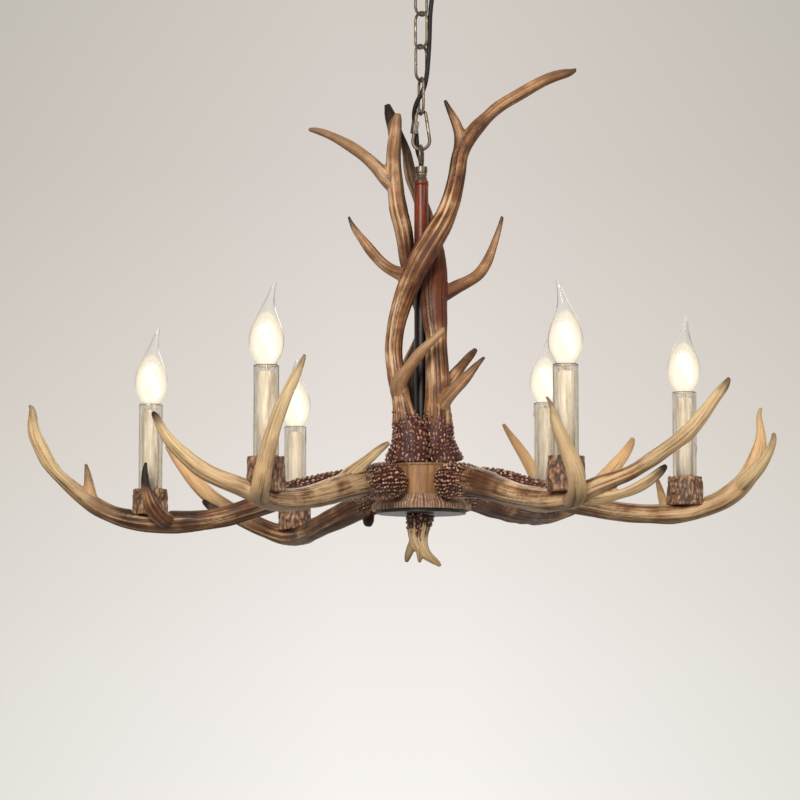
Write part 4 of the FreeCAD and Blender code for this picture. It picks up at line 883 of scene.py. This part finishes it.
cup_stain, tree, shader, _, bark_brown = mottled(
    "cup bark stain", 240.0, 5.0, (0.32, tint(98, 62, 42)), (0.5, tint(138, 98, 70)),
    (0.7, tint(192, 158, 126)), bump=0.0006, strength=0.6, Roughness=0.55)
tree.links.new(blended(tree, reading(tree, "hollow"), bark_brown, tint(44, 24, 18)),
               shader.inputs["Base Color"])
for lamp_name in LAMPS:
    node = "candle_cup_" + lamp_name
    low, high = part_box(node)
    middle = (low + high) / 2
    data = evened(node, CUP_GRID, 1)
    places, normals = vertex_arrays(data)
    around = np.arctan2(places[:, 1] - middle.y, places[:, 0] - middle.x)
    reach = np.hypot(places[:, 0] - middle.x, places[:, 1] - middle.y)
    bark = np.stack([BARK_ROUND * np.cos(around), BARK_ROUND * np.sin(around),
                     (places[:, 2] - low.z) / BARK_DRAWN], axis=1)
    bark += 3 * np.array((middle.x, middle.y, 0))
    deep = 1 - np.minimum(1, 2.2 * np.abs(noise_at(bark, 1 / BARK_GRAIN)))
    knob = noise_at(bark, 1 / KNOB_SIZE, (5, 5, 5))
    outside = ease(reach, 0.0150, 0.0165)
    rise = BARK_KNOB * knob - BARK_CREVICE * ease(deep, 0.35, 0.95) + BARK_SWELL
    places += normals * (outside * rise)[:, None]
    data.vertices.foreach_set("co", places.astype(np.float32).ravel())
    set_attribute(data, "hollow", outside * ease(deep, 0.3, 0.95) * 0.85 + 0.3 * (1 - outside))
    fixed_piece("bark_cup_" + lamp_name, data, node, "bark_resin", cup_stain)


# -------- candle sleeves
# Clear acrylic tubes that stand in the cups round a pale inner column.  Runs of wax are moulded
# down the outside from the rim, each ending in a bead.
SLEEVE_RADIUS = 0.013
SLEEVE_WALL = 0.0013
SLEEVE_SIDES = 80
SLEEVE_LEVELS = 56          # cuts up the height
WAX_RUNS = 9
WAX_HEIGHT, WAX_SEAT, BEAD_LENGTH = 0.0011, 0.0005, 0.0035
COLUMN_RADIUS = 0.0088
COLUMN_FOOT, COLUMN_DROP, COLUMN_EDGE = 0.001, 0.006, 0.0016


def shown_by(tree, rays, first, second):
    """The material shows its first shader, and its second to the rays that rays marks."""
    mixed = add(tree, "MixShader", {0: rays, 1: first.outputs[0], 2: second.outputs[0]})
    tree.links.new(mixed.outputs[0], tree.nodes["Material Output"].inputs["Surface"])


def let_light_through(tree, shader, color):
    """The lamps' light passes a clear piece in a straight line, in its colour."""
    shown_by(tree, add(tree, "LightPath").outputs["Is Shadow Ray"], shader,
             add(tree, "BsdfTransparent", {"Color": color}))


acrylic, tree, shader, _, _ = mottled(
    "clear acrylic", 420.0, 4.0, (0.32, tint(226, 218, 204)), (0.6, tint(253, 251, 247)),
    bump=0.0006, strength=0.6, drawn=0.10, Roughness=0.05, IOR=1.38, Transmission_Weight=1.0)
let_light_through(tree, shader, tint(244, 240, 232))
for order, lamp_name in enumerate(LAMPS):
    node = "candle_sleeve_" + lamp_name
    low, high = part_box(node)
    middle = (low + high) / 2
    chances = np.random.default_rng(40 + order)
    shell = bmesh.new()
    for radius in (SLEEVE_RADIUS, SLEEVE_RADIUS - SLEEVE_WALL):
        before = set(shell.faces)
        bmesh.ops.create_cone(shell, segments=SLEEVE_SIDES, radius1=radius, radius2=radius,
                              depth=high.z - low.z, matrix=Matrix.Translation(middle))
    bmesh.ops.reverse_faces(shell, faces=list(set(shell.faces) - before))       # the inner wall
    for at_top in (True, False):
        rims = [edge for edge in shell.edges
                if all((vertex.co.z > middle.z) == at_top for vertex in edge.verts)]
        bmesh.ops.bridge_loops(shell, edges=rims)
    uprights = [edge for edge in shell.edges if abs(edge.verts[0].co.z - edge.verts[1].co.z) > 0.01]
    bmesh.ops.subdivide_edges(shell, edges=uprights, cuts=SLEEVE_LEVELS, use_grid_fill=True)
    drops = [(chances.uniform(-math.pi, math.pi), chances.uniform(0.010, 0.074),
              chances.uniform(0.10, 0.20), chances.uniform(0.5, 1.0)) for _ in range(WAX_RUNS)]
    for vertex in shell.verts:
        out = vertex.co - middle
        out.z = 0
        if out.length < SLEEVE_RADIUS - 0.5 * SLEEVE_WALL:
            continue
        turn, down = math.atan2(out.y, out.x), high.z - vertex.co.z
        relief = 0
        for where, length, width, size in drops:
            aside = math.remainder(turn - where, 2 * math.pi) / width
            run = math.exp(-aside * aside) * (0.55 if down < length else 0)
            bead = math.exp(-aside * aside * 0.8 - ((down - length) / BEAD_LENGTH) ** 2)
            relief = max(relief, size * max(run, bead))
        vertex.co += out.normalized() * (WAX_HEIGHT * relief - WAX_SEAT)
    fixed_piece("drip_sleeve_" + lamp_name, mesh_from(shell), node, "clear_acrylic", acrylic)

inner_tube = mottled(
    "pale inner tube", 300.0, 5.0, (0.3, tint(144, 137, 127)), (0.5, tint(178, 172, 163)),
    (0.68, tint(204, 199, 191)), bump=0.0004, strength=0.4, drawn=0.08, rough=0.6)[0]
shell = bmesh.new()
for lamp_name in LAMPS:
    low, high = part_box("candle_sleeve_" + lamp_name)
    bottom, top = low.z + COLUMN_FOOT, high.z - COLUMN_DROP
    middle = Vector(((low.x + high.x) / 2, (low.y + high.y) / 2, (bottom + top) / 2))
    bmesh.ops.create_cone(shell, cap_ends=True, segments=64, radius1=COLUMN_RADIUS,
                          radius2=COLUMN_RADIUS, depth=top - bottom,
                          matrix=Matrix.Translation(middle))
rims = [edge for edge in shell.edges
        if len(edge.link_faces) == 2 and edge.calc_face_angle() > 1.2]
bmesh.ops.bevel(shell, geom=rims, offset=COLUMN_EDGE, segments=3, affect="EDGES")
fixed_piece("inner_columns", mesh_from(shell), "lampholders", "white_plastic", inner_tube)


# -------- bulbs
# Clear candle bulbs with a bent tip, screwed into the lampholders and lit: the light fills the
# belly and thins out towards the tip.
HEART_RISE = 0.0300         # the light's middle above the glass's foot
GLOW_SHELLS = (             # reach below and above, radius, colour, strength, how well it covers
    (0.0180, 0.0185, 0.0120, tint(255, 255, 252), 1.30, 1.00),
    (0.0205, 0.0235, 0.0140, tint(255, 253, 240), 1.12, 0.62),
    (0.0220, 0.0310, 0.0154, tint(255, 247, 222), 1.06, 0.42),
    (0.0232, 0.0430, 0.0163, tint(255, 232, 192), 1.02, 0.30),
)
GLOW_TAPER = 0.62           # how much narrower a shell gets towards its top
LIGHT_POWER, LIGHT_SIZE, LIGHT_RISE = 0.03, 0.009, 0.012
LIGHT_COLOR = (1.0, 0.90, 0.76)

glass, tree, shader = principled("bulb glass", Base_Color=(1, 1, 1, 1), Roughness=0.02, IOR=1.22,
                                 Transmission_Weight=1.0)
let_light_through(tree, shader, (1, 1, 1, 1))
cap_metal = metal_paint("nickel cap", tint(176, 168, 150), tint(214, 208, 192),
                        tint(110, 98, 80), patch=0.006, metallic=0.95)

glows = []
for number, (*_, color, strength, cover) in enumerate(GLOW_SHELLS, 1):
    made, tree, shader = principled(
        "filament light %d" % number, Base_Color=(0, 0, 0, 1), Roughness=1.0,
        Specular_IOR_Level=0.0, Emission_Color=color, Emission_Strength=strength)
    if cover < 1:
        thinned = joined(tree, "MULTIPLY", reading(tree, "fading"), cover)
        tree.links.new(thinned, shader.inputs["Alpha"])
    rays = add(tree, "LightPath").outputs
    seen = joined(tree, "MAXIMUM", rays["Is Camera Ray"], rays["Is Transmission Ray"])
    shown_by(tree, seen, add(tree, "BsdfTransparent"), shader)
    glows.append(made)

for lamp_name in LAMPS:
    dress("bulb_glass_" + lamp_name, glass)
    dress("bulb_cap_" + lamp_name, cap_metal)
    low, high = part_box("bulb_cap_" + lamp_name)
    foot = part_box("bulb_glass_" + lamp_name)[0].z
    heart = Vector(((low.x + high.x) / 2, (low.y + high.y) / 2, foot + HEART_RISE))
    shell = bmesh.new()
    fadings = []
    for number, (below, above, radius, *_) in enumerate(GLOW_SHELLS):
        before = set(shell.faces)
        ball = bmesh.ops.create_uvsphere(shell, u_segments=40, v_segments=28, radius=1)
        for vertex in ball["verts"]:
            up = max(vertex.co.z, 0)
            width = radius * (1 - GLOW_TAPER * up * up * (above - below) / above)
            fadings.append(1 - ease(vertex.co.z, 0.15, 0.95))
            vertex.co = heart + Vector((vertex.co.x * width, vertex.co.y * width,
                                        vertex.co.z * (above if vertex.co.z > 0 else below)))
        for face in set(shell.faces) - before:
            face.material_index = number
    data = mesh_from(shell)
    set_attribute(data, "fading", fadings)
    glow = finished("filament_light_" + lamp_name, data, *glows)
    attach(glow, "bulb_" + lamp_name)
    label = "warm light " + lamp_name
    warm = placed(label, bpy.data.lights.new(label, "POINT"))
    warm.data.energy = LIGHT_POWER
    warm.data.shadow_soft_size = LIGHT_SIZE
    warm.data.color = LIGHT_COLOR
    warm.location = heart + Vector((0, 0, LIGHT_RISE))
